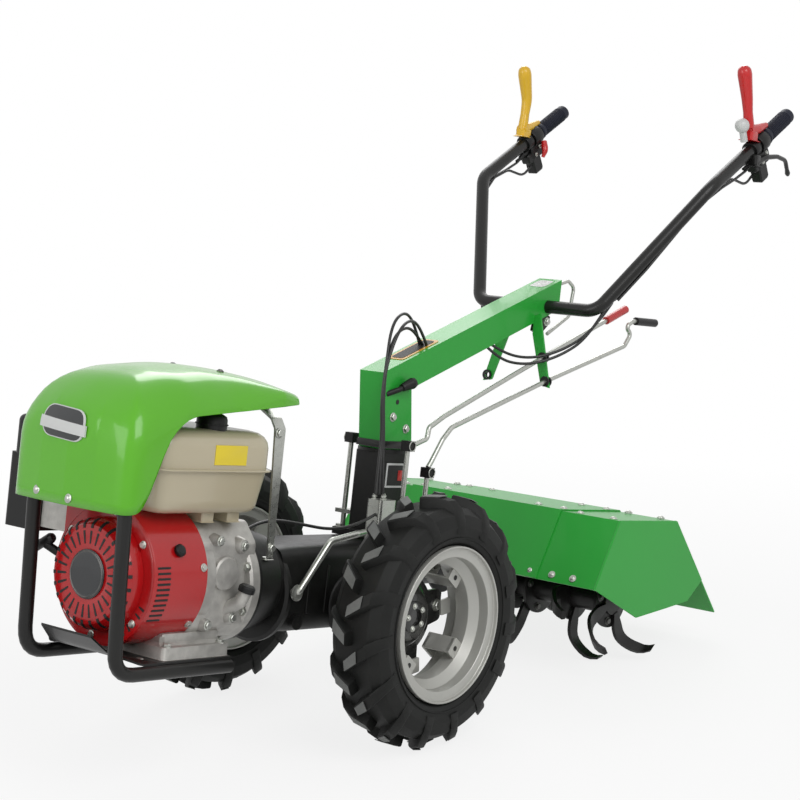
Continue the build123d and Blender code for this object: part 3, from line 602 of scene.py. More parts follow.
class Copier:
    """Geometry Nodes that set copies of one item at a list of places."""

    def __init__(self) -> None:
        """Builds the node tree with its named inputs."""
        tree = bpy.data.node_groups.new("set copies at places", "GeometryNodeTree")
        for name, kind in (("Places", "Geometry"), ("Item", "Object"), ("Finish", "Material")):
            tree.interface.new_socket(name, in_out="INPUT", socket_type="NodeSocket" + kind)
        tree.interface.new_socket("Copies", in_out="OUTPUT", socket_type="NodeSocketGeometry")
        graph = Graph(tree)
        given = graph.node("NodeGroupInput").outputs
        item = graph.node("GeometryNodeObjectInfo", None, {"Object": given["Item"]}).outputs["Geometry"]
        turn = graph.node("GeometryNodeInputNamedAttribute", {"data_type": "FLOAT_VECTOR"}, {"Name": "turn"})
        aim = graph.node("FunctionNodeEulerToRotation", None, {0: turn.outputs[0]}).outputs[0]
        values = {"Points": given["Places"], "Instance": item, "Rotation": aim}
        copies = graph.node("GeometryNodeInstanceOnPoints", None, values).outputs[0]
        real = graph.node("GeometryNodeRealizeInstances", None, {0: copies}).outputs[0]
        dressed = graph.node("GeometryNodeSetMaterial", None, {"Geometry": real, "Material": given["Finish"]})
        graph.node("NodeGroupOutput", None, {0: dressed.outputs[0]})
        self.tree = tree
        self.inputs = {s.name: s.identifier for s in tree.interface.items_tree if s.in_out == "INPUT"}

    def copies(self, item: Workpiece, stitches: Sequence[Stitch], finish: Finish) -> bpy.types.Mesh:
        """Copies an item to its places and bakes the result.

        Args:
            item: The item, drawn about its own origin.
            stitches: The places.
            finish: The finish that the nodes set.

        Returns:
            A plain mesh in the level machine's millimetres.
        """
        sample = bpy.data.objects.new("item", item.plain("item"))
        spots = bpy.data.meshes.new("places")
        spots.from_pydata([stitch.place for stitch in stitches], [], [])
        turns = spots.attributes.new("turn", "FLOAT_VECTOR", "POINT")
        for row, stitch in zip(turns.data, stitches):
            row.vector = stitch.turn()
        holder = bpy.data.objects.new("places", spots)
        for thing in (sample, holder):
            bpy.context.collection.objects.link(thing)
        modifier = holder.modifiers.new("copies", "NODES")
        modifier.node_group = self.tree
        modifier[self.inputs["Item"]] = sample
        modifier[self.inputs["Finish"]] = finish.material()
        ready = holder.evaluated_get(bpy.context.evaluated_depsgraph_get())
        made = bpy.data.meshes.new_from_object(ready)
        holder.modifiers.remove(modifier)
        for thing in (sample, holder):
            bpy.data.objects.remove(thing)
        return made


class Workshop:
    """Finishes workpieces into pieces of the machine."""

    def __init__(self, stance: Stance) -> None:
        """Keeps the stance and makes the copier."""
        self.stance = stance
        self.copier = Copier()

    def piece(self, name: str, finish: Finish, body: Body, work: Workpiece,
            replaces: Sequence[str] = ()) -> bpy.types.Object:
        """Turns a workpiece into a finished piece.

        Args:
            name: The piece's name.
            finish: Its finish.
            body: The body that it rides on.
            work: The mesh in the making.
            replaces: The nodes that it stands in for.

        Returns:
            The Blender object.
        """
        mesh = work.plain(name)
        mesh.transform(self.stance.matrix)
        mesh.materials.clear()
        mesh.materials.append(finish.material())
        for polygon in mesh.polygons:
            polygon.material_index = 0
        made = bpy.data.objects.new(name, mesh)
        bpy.context.collection.objects.link(made)
        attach(made, body.value)
        for node in replaces:
            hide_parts(node)
        LOG.info("made %s", name)
        return made

    def bolts(self, name: str, finish: Finish, body: Body, stitches: Sequence[Stitch], radius: float = 8.0,
            domed: bool = False) -> None:
        """A set of equal bolt heads.

        Args:
            name: The piece's name.
            finish: Its finish.
            body: The body that it rides on.
            stitches: The heads' places and directions.
            radius: Half of a head across its corners.
            domed: Whether the heads are round buttons.
        """
        heads = self.copier.copies(bolt_head(radius, domed), stitches, finish)
        self.piece(name, finish, body, Workpiece().add(heads))


def bolt_head(radius: float, domed: bool) -> Workpiece:
    """One bolt head on a washer, drawn upwards from its seat."""
    seat, up = (0, 0, 0), (0, 0, 1)
    washer = [(radius * 1.3, -1.0), (radius * 1.3, 1.2), (radius * 1.2, 1.5)]
    head = Workpiece().lathe(washer, seat, up, 20)
    if domed:
        arc = [(radius * math.cos(a), 1.4 + radius * 0.55 * math.sin(a)) for a in (0, 0.4, 0.8, 1.2, 1.5)]
        return head.lathe(arc, seat, up, 16)
    rows = [(radius, 1.4), (radius, radius * 0.72), (radius * 0.86, radius * 0.85)]
    return head.lathe(rows, seat, up, 6)


@dataclass
class Assembly:
    """A sub-assembly whose pieces ride on one body unless a call names another."""

    shop: Workshop
    home: ClassVar[Body] = Body.CHASSIS

    def put(self, name: str, finish: Finish, work: Workpiece, *nodes: str,
            body: Body | None = None) -> bpy.types.Object:
        """Makes one piece.

        Args:
            name: The piece's name.
            finish: Its finish.
            work: The mesh in the making.
            nodes: The nodes that it stands in for.
            body: The body that it rides on, where that is not the sub-assembly's own.

        Returns:
            The Blender object.
        """
        return self.shop.piece(name, finish, body or self.home, work, nodes)

    def bolts(self, name: str, finish: Finish, stitches: Sequence[Stitch], radius: float, domed: bool = False,
            body: Body | None = None) -> None:
        """Makes one set of bolt heads, given as to Workshop.bolts."""
        self.shop.bolts(name, finish, body or self.home, stitches, radius, domed)

    def turned(self, name: str, finish: Finish, profile: Sequence[Flat], place: Point, axis: Point,
            steps: int, *nodes: str, looped: bool = False) -> None:
        """Makes one piece that is turned about an axis, given as to Workpiece.lathe."""
        self.put(name, finish, Workpiece().lathe(profile, place, axis, steps, looped), *nodes)

    def copies(self, item: Workpiece, stitches: Sequence[Stitch], finish: Finish) -> bpy.types.Mesh:
        """Copies of an item at its places."""
        return self.shop.copier.copies(item, stitches, finish)


@dataclass
class Wheel(Assembly):
    """One driven wheel: tyre with slanted lugs, rim with brackets and the dished disc."""

    side: int
    track: float = 267.0
    lugs: int = 15
    lug_reach: float = 59.0
    lug_slant: float = 46.0
    bracket_turn: float = 35.325
    bracket_face: float = 13.0
    disc_face: float = -50.0

    def build(self) -> None:
        """Makes the wheel's pieces."""
        self.end = "left" if self.side > 0 else "right"
        self.body = Body.WHEEL_LEFT if self.side > 0 else Body.WHEEL_RIGHT
        self._tyre()
        self._rim()
        self._disc()
        self._fasteners()

    def _at(self, radius: float, angle: float, out: float, along: float = 0.0) -> Point:
        """A point of the wheel from its radius, angle, distance out and shift along the turn."""
        c, s = math.cos(angle), math.sin(angle)
        return (radius * c - along * s, self.side * (self.track + out), radius * s + along * c)

    def _tyre(self) -> None:
        """The carcass with its two rows of lugs, and the painted highlight on their tops."""
        half = [(127.3, 44.0), (146.5, 44.0), (150.0, 51.0), (158.0, 55.0), (180.0, 58.0), (202.0, 53.0),
            (214.0, 36.0)]
        loop = half + [(r, -y) for r, y in half[::-1]]
        work = Workpiece().lathe(rounded(loop, 5.0, 3), (0, self.side * self.track, 0), (0, 1, 0), 96,
            looped=True)
        beads = Workpiece()
        for out in (-1, 1):
            ring = [(160.0 + 1.6 * math.cos(a), 56.0 + 1.6 * math.sin(a)) for a in round_trip(6)]
            beads.lathe(ring, (0, self.side * self.track, 0), (0, out, 0), 96, looped=True)
        # Paler faces on every lug top: a painted highlight of the light on the tread.
        painted_highlight = Workpiece()
        for out in (1, -1):
            start = 0.0 if out * self.side > 0 else 180.0 / self.lugs
            stitches = [Stitch((0, self.side * self.track, 0), (0, -1, 0), start + 360.0 / self.lugs * i)
                for i in range(self.lugs)]
            work.add(self.copies(self._lug(out), stitches, TYRE_BLACK))
            painted_highlight.add(self.copies(self._painted_highlight_top(out), stitches, TYRE_PAINTED_HIGHLIGHT))
        self.put(f"tyre_{self.end}_body", TYRE_BLACK, work, f"tyre_{self.end}", body=self.body)
        self.put(f"tyre_{self.end}_bead_lines", TYRE_BLACK, beads, body=self.body)
        self.put(f"tyre_{self.end}_worn_tops", TYRE_PAINTED_HIGHLIGHT, painted_highlight, body=self.body)

    def _lug(self, out: int) -> Workpiece:
        """One lug that runs from the middle over a shoulder, drawn about the wheel's axis."""
        table = [(-2.0, 234.4, 12.0, 204.0), (20.0, 234.2, 13.0, 204.0), (40.0, 227.0, 13.2, 192.0)]
        table += [(51.0, 213.0, 13.2, 180.0), (57.5, 196.0, 12.6, 172.0), (59.0, 184.0, 12.0, 168.0)]
        rings = []
        for reach, top, half, foot in table:
            middle = -self.lug_slant / 2 + self.lug_slant * (reach + 2.0) / (self.lug_reach + 2.0)
            corners = [(-half - 4, foot), (-half, top - 2.5), (2.5 - half, top), (half - 2.5, top),
                (half, top - 2.5), (half + 4, foot)]
            rings.append([self._spun(radius, middle + t, out * reach) for t, radius in corners])
        return Workpiece().loft(rings)

    def _painted_highlight_top(self, out: int) -> Workpiece:
        """The paler top face of one lug: a painted highlight where light falls on the tread."""
        rings = []
        for reach, half in ((-1.0, 9.4), (12.0, 10.4), (27.0, 11.2)):
            middle = -self.lug_slant / 2 + self.lug_slant * (reach + 2.0) / (self.lug_reach + 2.0)
            rings.append([self._spun(radius, middle + t, out * reach) for t,
                radius in ((-half, 233.4), (-half, 235.0), (half, 235.0), (half, 233.4))])
        return Workpiece().loft(rings)

    @staticmethod
    def _spun(radius: float, along: float, out: float) -> Point:
        """A point about a local Z axis that the copier turns to the wheel's axis."""
        angle = along / TREAD_RADIUS
        return (radius * math.cos(angle), radius * math.sin(angle), out)

    def _rim(self) -> None:
        """The silver drop-centre rim with its four bolting brackets, and dark discs of painted shade in their
        holes.
        """
        outer = [(145.0, 56.0), (145.0, 44.3), (127.0, 44.3), (127.0, 25.0), (110.0, 13.0)]
        inner = [(106.0, 15.0), (123.0, 27.0), (123.0, 48.3), (141.0, 48.3), (141.0, 56.0)]
        outer += [(r, -y) for r, y in outer[::-1]]
        inner = [(r, -y) for r, y in inner[::-1]] + inner
        work = Workpiece().lathe(rounded(outer + inner, 2.6, 3), (0, self.side * self.track, 0), (0, 1, 0),
            96, looped=True)
        for angle in round_trip(4, self.bracket_turn):
            self._slab(work, angle, (83, 108), (self.bracket_face - 6, self.bracket_face), 17)
            self._slab(work, angle, (83, 88), (self.disc_face, self.bracket_face - 3), 17)
            self._slab(work, angle, (83, 124), (self.disc_face, self.disc_face + 6), 17)
        for angle in round_trip(4, self.bracket_turn - 45):
            self._slab(work, angle, (80, 108), (self.disc_face + 16.3, self.disc_face + 20), 15)
        self.put(f"rim_{self.end}_shell", RIM_SILVER, work, f"rim_{self.end}", body=self.body)
        # Dark discs in the bracket holes: painted shade where the holes open.
        holes = Workpiece()
        for angle in round_trip(4, self.bracket_turn):
            spot = self._at(96.0, angle, self.bracket_face - 0.6)
            holes.lathe([(5.0, 0.0), (5.0, 1.0), (4.4, 1.1)], spot, (0, self.side, 0), 16)
        self.put(f"rim_{self.end}_bracket_holes", BLACK_PAINT, holes, body=self.body)

    def _slab(self, work: Workpiece, angle: float, radii: Flat, outs: Flat, half: float) -> None:
        """One flat part of a bracket, given by its radii, depths and half width."""
        work.loft([[self._at(r, angle, out, t) for r, t in rounded(oblong(radii, (-half, half)), 3.0, 2)]
            for out in outs])

    def _disc(self) -> None:
        """The dark dished wheel centre with its four lobes, hub and stub axle."""
        place = (0, self.side * (self.track + self.disc_face), 0)
        dish = [(36.0, -34.0), (62.0, -8.0), (74.0, -6.0), (74.0, 0.0), (64.0, 0.6), (58.0, 5.0),
            (47.0, 15.5), (41.0, 18.0)]
        work = Workpiece().lathe(dish, place, (0, self.side, 0), 64)
        hub = [(13.0, 17.0), (30.0, 17.4), (30.0, 21.0), (25.0, 24.0), (16.0, 24.6), (15.0, 19.0)]
        work.lathe(hub, place, (0, self.side, 0), 40)
        work.lathe([(38.0, -37.0), (38.0, -4.0)], place, (0, self.side, 0), 40)
        work.lathe([(15.0, -110.0), (15.0, -30.0)], place, (0, self.side, 0), 28)
        for angle in round_trip(4, self.bracket_turn - 45):
            flat = rounded([(40, -36), (103, -30), (103, 30), (40, 36)], 14, 5)
            work.loft([[self._at(r, angle, out, t) for r, t in flat]
                for out in (self.disc_face - 6, self.disc_face)])
        self.put(f"wheel_disc_{self.end}_dish", BLACK_GLOSS, work, f"wheel_disc_{self.end}", body=self.body)

    def _fasteners(self) -> None:
        """The bolts of the lobes and brackets."""
        face = (0, self.side, 0)
        lobes = [Stitch(self._at(90.0, a, self.disc_face), face)
            for a in round_trip(4, self.bracket_turn - 45)]
        backs = [Stitch(self._at(112.0, a, self.disc_face + 6), face)
            for a in round_trip(4, self.bracket_turn)]
        self.bolts(f"wheel_{self.end}_lobe_bolts", ZINC, lobes, 9.0, body=self.body)
        self.bolts(f"wheel_{self.end}_rim_bolts", ZINC, backs, 7.0, body=self.body)
        hub = [Stitch(self._at(22.0, a, self.disc_face + 23.5), face) for a in round_trip(5)]
        self.bolts(f"wheel_{self.end}_hub_bolts", ZINC, hub, 4.5, body=self.body)


@dataclass
class Hood(Assembly):
    """The domed engine hood, its bolts, its blank badge and the strap that carries it."""

    near: float = 136.0
    far: float = -158.0
    nose: float = 665.0
    tail: float = 229.0
    sheet: float = 4.0
    cross_radius: float = 577.0
    nose_bend: float = 95.0
    crown: tuple[Flat, ...] = ((229.0, 398.0), (300.0, 413.0), (372.0, 421.0), (446.0, 424.0), (540.0, 414.0),
        (610.0, 398.0), (675.0, 380.0))
    lower: tuple[Flat, ...] = ((229.0, 374.0), (268.0, 372.0), (400.0, 357.0), (525.0, 343.0), (565.0, 316.0),
        (585.0, 277.0), (595.0, 239.0), (606.0, 206.0), (616.0, 186.0), (634.0, 178.0), (700.0, 178.0))

    def build(self) -> None:
        """Makes the hood's pieces."""
        self._shell()
        self._trim()
        self._strap()

    def _plan(self) -> list[Flat]:
        """The hood's outline seen from above."""
        corners = [(300, self.near), (self.nose - 12, self.near), (self.nose - 3, 60), (self.nose, -7),
            (self.nose - 3, -74)]
        corners += [(self.nose - 12, self.far), (300, self.far), (258, self.far + 5), (238, self.far + 24),
            (231, self.far + 60)]
        corners += [(229, self.far + 100), (229, self.near - 100), (231, self.near - 60),
            (238, self.near - 24), (258, self.near - 5)]
        ring = []
        for i, corner in enumerate(corners):
            spot = Vector(corner)
            back, ahead = Vector(corners[i - 1]) - spot, Vector(corners[(i + 1) % len(corners)]) - spot
            radius, steps = (66.0, 14) if i in (1, 5) else (60.0, 4)
            cut = min(radius / max(math.tan(back.angle(ahead) / 2), 1e-3), back.length * 0.46,
                ahead.length * 0.46)
            start, end = spot + back.normalized() * cut, spot + ahead.normalized() * cut
            for t in range(steps + 1):
                left = 1 - t / steps
                ring.append(tuple(start * left ** 2 + spot * 2 * t / steps * left + end * (t / steps) ** 2))
        return dotted(ring, 12.0)

    def _top(self, x: float, y: float, gap: float) -> float:
        """The dome's height at a place that is a gap inside the outline."""
        height = smooth_read(self.crown, x)
        across = y - (self.near + self.far) / 2
        height -= self._sag(across)
        ahead = max(0.0, min(1.0, (x - 520.0) / 110.0))
        behind = max(0.0, min(1.0, (x - 300.0) / 130.0))
        radius = (12.0 + 48.0 * behind) * (1 - ahead) + self.nose_bend * ahead
        if gap < radius:
            height -= (radius - math.sqrt(max(0.0, radius ** 2 - (radius - gap) ** 2))) * 0.92
        return height

    def _sag(self, across: float) -> float:
        """How far the crown has fallen at a distance from its middle line."""
        return self.cross_radius - math.sqrt(self.cross_radius ** 2 - across ** 2)

    def _first_share(self, spot: Flat, middle: Flat, plan: Sequence[Flat]) -> float:
        """How far in from the outline the dome first stands above its lower line."""
        for step in range(60):
            share = step * 0.008
            px, py = spot[0] + (middle[0] - spot[0]) * share, spot[1] + (middle[1] - spot[1]) * share
            gap = min(math.dist((px, py), other) for other in plan)
            if self._top(px, py, gap) > smooth_read(self.lower, px):
                return share
        return 0.48

    def _shell(self) -> None:
        """The sheet: a dome that bends down into walls, cut along its lower line."""
        plan = self._plan()
        spine = [(min(max(x, 300.0), 560.0), (self.near + self.far) / 2) for x, _ in plan]
        work = Workpiece()
        starts = [self._first_share(spot, middle, plan) for spot, middle in zip(plan, spine)]
        rings = []
        for share in (0.0, 0.15, 0.4, 0.7, 1.0):
            ring = []
            for (x, y), (sx, sy), start in zip(plan, spine, starts):
                px, py = x + (sx - x) * start, y + (sy - y) * start
                edge = self._top(px, py, min(math.dist((px, py), spot) for spot in plan))
                low = min(smooth_read(self.lower, px), edge - 1.0)
                ring.append((px, py, low + (edge - low) * share))
            rings.append(ring)
        for share in (0.012, 0.04, 0.08, 0.13, 0.19, 0.26, 0.34, 0.43, 0.53, 0.64, 0.76, 0.88, 0.97):
            ring = []
            for (x, y), (sx, sy), start in zip(plan, spine, starts):
                way = start + (1.0 - start) * share
                px, py = x + (sx - x) * way, y + (sy - y) * way
                gap = min(math.dist((px, py), spot) for spot in plan)
                ring.append((px, py, self._top(px, py, gap)))
            rings.append(ring)
        work.loft(rings, capped=False)
        last = [v for v in work.mesh.verts][-len(plan):]
        cap = work.mesh.faces.new(last)
        bmesh.ops.triangulate(work.mesh, faces=[cap])
        shell = self.put("hood_shell", HOOD_GREEN, work, "hood")
        for edge in shell.data.edges:
            edge.use_edge_sharp = False
        thick = shell.modifiers.new("sheet", "SOLIDIFY")
        thick.thickness = self.sheet * MM
        thick.offset = -1.0

    def _trim(self) -> None:
        """The hood's bolts and its blank badge."""
        front = (1.0, 0.0, 0.12)
        stitches = [Stitch((self.nose - 4, -76, 194), front), Stitch((self.nose, 8, 190), front)]
        tops = [Stitch((385, y, self._top(385, y, 200) + 0.5), (0, y / self.cross_radius, 1.0))
            for y in (-66.0, 52.0)]
        self.bolts("hood_bolts", ZINC, stitches, 6.0, domed=True)
        self.bolts("hood_top_bolts", DULL_STEEL, tops, 5.0, domed=True)
        self._badge("hood_badge", BADGE_BLACK, 1.0, 3.0)
        self._badge("hood_badge_rim", PLATE_PALE, 1.07, 2.2)
        rows = [(-80.0 + 5.7 * i, 302.0 - 0.4 * i) for i in range(21)]
        band = Workpiece().loft([[self._on_nose(y, z + up, lift) for up,
            lift in ((0, 1.0), (0, 4.2), (9, 4.2), (18, 4.2), (18, 1.0))] for y, z in rows])
        self.put("hood_badge_band", PLATE_PALE, band)

    def _badge(self, name: str, finish: Finish, grow: float, lift: float) -> None:
        """One blank rounded plate that follows the hood's nose.

        Args:
            name: The piece's name.
            finish: Its finish.
            grow: Its size against the badge's.
            lift: Its face's height over the sheet.
        """
        outline = rounded(oblong((-50, 50), (-25, 25)), 24, 6)
        rings = []
        for scale, height in ((1.0, 0.0), (1.0, lift - 0.6), (0.985, lift), (0.6, lift), (0.25, lift),
                (0.04, lift)):
            rings.append([self._on_nose(-24 + a * grow * scale, 312 + b * grow * scale - a * 0.06, height)
                for a, b in outline])
        self.put(name, finish, Workpiece().loft(rings))

    def _on_nose(self, y: float, z: float, lift: float) -> Point:
        """A point on the hood's front, raised a little from its sheet."""
        across = y - (self.near + self.far) / 2
        plan = self.nose - 4.0 * (across / 67.0) ** 2
        top = smooth_read(self.crown, plan - 30.0) - self._sag(across)
        bend = self.nose_bend
        fall = max(0.0, min(bend, (top - z) / 0.92))
        gap = bend - math.sqrt(max(0.0, bend ** 2 - (bend - fall) ** 2))
        lean = math.asin(max(0.0, min(1.0, (bend - fall) / bend)))
        return (plan - gap + lift * math.cos(lean), y, z + lift * math.sin(lean))

    def _strap(self) -> None:
        """The zinc strap that arches over the tank's rear end."""
        line = [(-92, 92), (-92, 326), (-80, 344), (-34, 368), (34, 368), (80, 344), (92, 326), (92, 92)]
        outer = soften([Vector((y, z)).to_3d() for y, z in line], 14.0, 5)
        work = Workpiece()
        rings = []
        for i, point in enumerate(outer):
            along = (outer[min(i + 1, len(outer) - 1)] - outer[max(i - 1, 0)]).normalized()
            side = Vector((along.y, -along.x, 0.0))
            rear, front = 244.0, 257.0 + 14.0 * max(0.0, min(1.0, (point.y - 92.0) / 234.0))
            inner = point + side * 4.0
            rings.append([(rear, point.x, point.y), (front, point.x, point.y), (front, inner.x, inner.y),
                (rear, inner.x, inner.y)])
        work.loft(rings)
        for side in (1, -1):
            work.block((242, 262), sorted((side * 62.0, side * 92.0)), (90, 95))
        work.block((246, 270), (-30, 30), (366, 396))
        self.put("hood_strap_bent", ZINC, work, "hood_bracket")
        self.bolts("strap_bolts", ZINC, [Stitch((251, 92.5, 112), (0, 1, 0)),
            Stitch((262, 92.5, 318), (0, 1, 0)), Stitch((251, -92.5, 112), (0, -1, 0))], 7.0)


def smooth_read(table: Sequence[Flat], where: float) -> float:
    """Reads a height between the rows of a table, with rounded joints."""
    total = 0.0
    for shift in (-16.0, -8.0, 0.0, 8.0, 16.0):
        total += stepped(table, max(table[0][0], where + shift))
    return total / 5.0


@dataclass
class Tank(Assembly):
    """The pale fuel tank of two pressed halves, with its cap and a blank yellow plate."""

    rear: float = 292.0
    front: float = 566.0
    far: float = -86.0
    near: float = 118.0
    seam: float = 252.0

    def build(self) -> None:
        """Makes the tank's pieces."""
        levels = [(176.0, 26.0, 20.0), (180.0, 17.0, 26.0), (188.0, 11.5, 30.0), (200.0, 9.0, 34.0),
            (247.0, 1.5, 38.0), (250.0, 0.5, 38.0)]
        levels += [(250.2, -5.0, 43.0), (254.0, -5.0, 43.0), (254.4, 0.5, 38.0), (292.0, 0.5, 38.0),
            (302.0, 2.5, 37.0), (311.0, 8.0, 34.0), (317.0, 17.0, 28.0), (320.0, 30.0, 24.0)]
        work = Workpiece().loft([self._ring(*level) for level in levels])
        for x in (332.0, 396.0):
            work.block((x, x + 30), (-70, 84), (158, 180), 2.0)
        self.put("fuel_tank_halves", TANK_BEIGE, work, "fuel_tank")
        lip = self._ring(252.0, -5.4, 43.0)
        feet = Workpiece().tube([Vector((*p[:2], 252.0)) for p in lip] + [Vector((*lip[0][:2], 252.0))], 1.9,
            0, 8)
        self.put("fuel_tank_seam_bead", TANK_BEIGE, feet)
        plate = Workpiece().block((366, 444), (self.near - 1, self.near + 0.9), (262, 296), 0.3)
        self.put("fuel_tank_blank_plate", PLATE_YELLOW, plate)
        cap = Workpiece().lathe([(27, 316), (27, 336), (25, 342), (18, 346), (6, 347)], (411, 70, 0),
            (0, 0, 1), 40)
        ribs = [Stitch((411 + 27 * math.cos(a), 70 + 27 * math.sin(a), 328), (math.cos(a), math.sin(a), 0))
            for a in round_trip(24)]
        cap.add(self.copies(Workpiece().block((-8, 8), (-1.2, 1.2), (-1, 0.9), 0.3), ribs, BLACK_MOULDING))
        self.put("fuel_tank_cap", BLACK_MOULDING, cap, "fuel_cap")

    def _ring(self, z: float, inset: float, corner: float) -> list[Point]:
        """One rounded level ring of the tank."""
        low, high = self.rear + inset, self.front - inset
        right, left = self.far + inset, self.near - inset
        flat = rounded(oblong((low, high), (right, left)), corner, 8)
        return [(x, y, z) for x, y in flat]


@dataclass
class Guard(Assembly):
    """The bent tube guard round the engine's front and the plate that lies on it."""

    half: float = 112.0
    ahead: float = 623.0
    low: float = -90.0
    top: float = 214.0
    radius: float = 12.5

    def build(self) -> None:
        """Makes the guard's pieces."""
        y = self.half
        line = [(350, -y, self.low), (self.ahead, -y, self.low), (self.ahead + 12, -y, self.top)]
        line += [(self.ahead + 12, y, self.top), (self.ahead, y, self.low), (350, y, self.low)]
        work = Workpiece().tube(line, self.radius, 46, 20)
        for middle in (-66, 0, 66):
            work.block((self.ahead + 14, 654), (middle - 14, middle + 14), (184, 214), 1.5)
        self.put("front_guard_tube", BLACK_PAINT, work, "bumper")
        plan = [(346, -y), (566, -y), (606, -72), (634, -62), (634, 62), (606, 72), (566, y), (346, y)]
        rows = []
        for lift in (-77.2, -73.4):
            rows.append([(x, yy, lift + self._lip(x)) for x, yy in dotted(plan, 10.0, straight=False)])
        plate = Workpiece().loft(rows, capped=False)
        count = len(rows[0])
        verts = plate.mesh.verts[:]
        for row in (verts[:count], verts[count:]):
            bmesh.ops.triangulate(plate.mesh, faces=[plate.mesh.faces.new(row)])
        self.put("skid_plate_folded", BLACK_PAINT, plate, "skid_plate")
        bolts = [Stitch((x, s * 92, -73.4), (0, 0, 1)) for x in (366, 548) for s in (1, -1)]
        self.bolts("skid_plate_bolts", ZINC, bolts, 7.0)

    @staticmethod
    def _lip(x: float) -> float:
        """How far the plate's front lip has risen."""
        return stepped(((560.0, 0.0), (600.0, 14.0), (640.0, 48.0)), max(560.0, x))


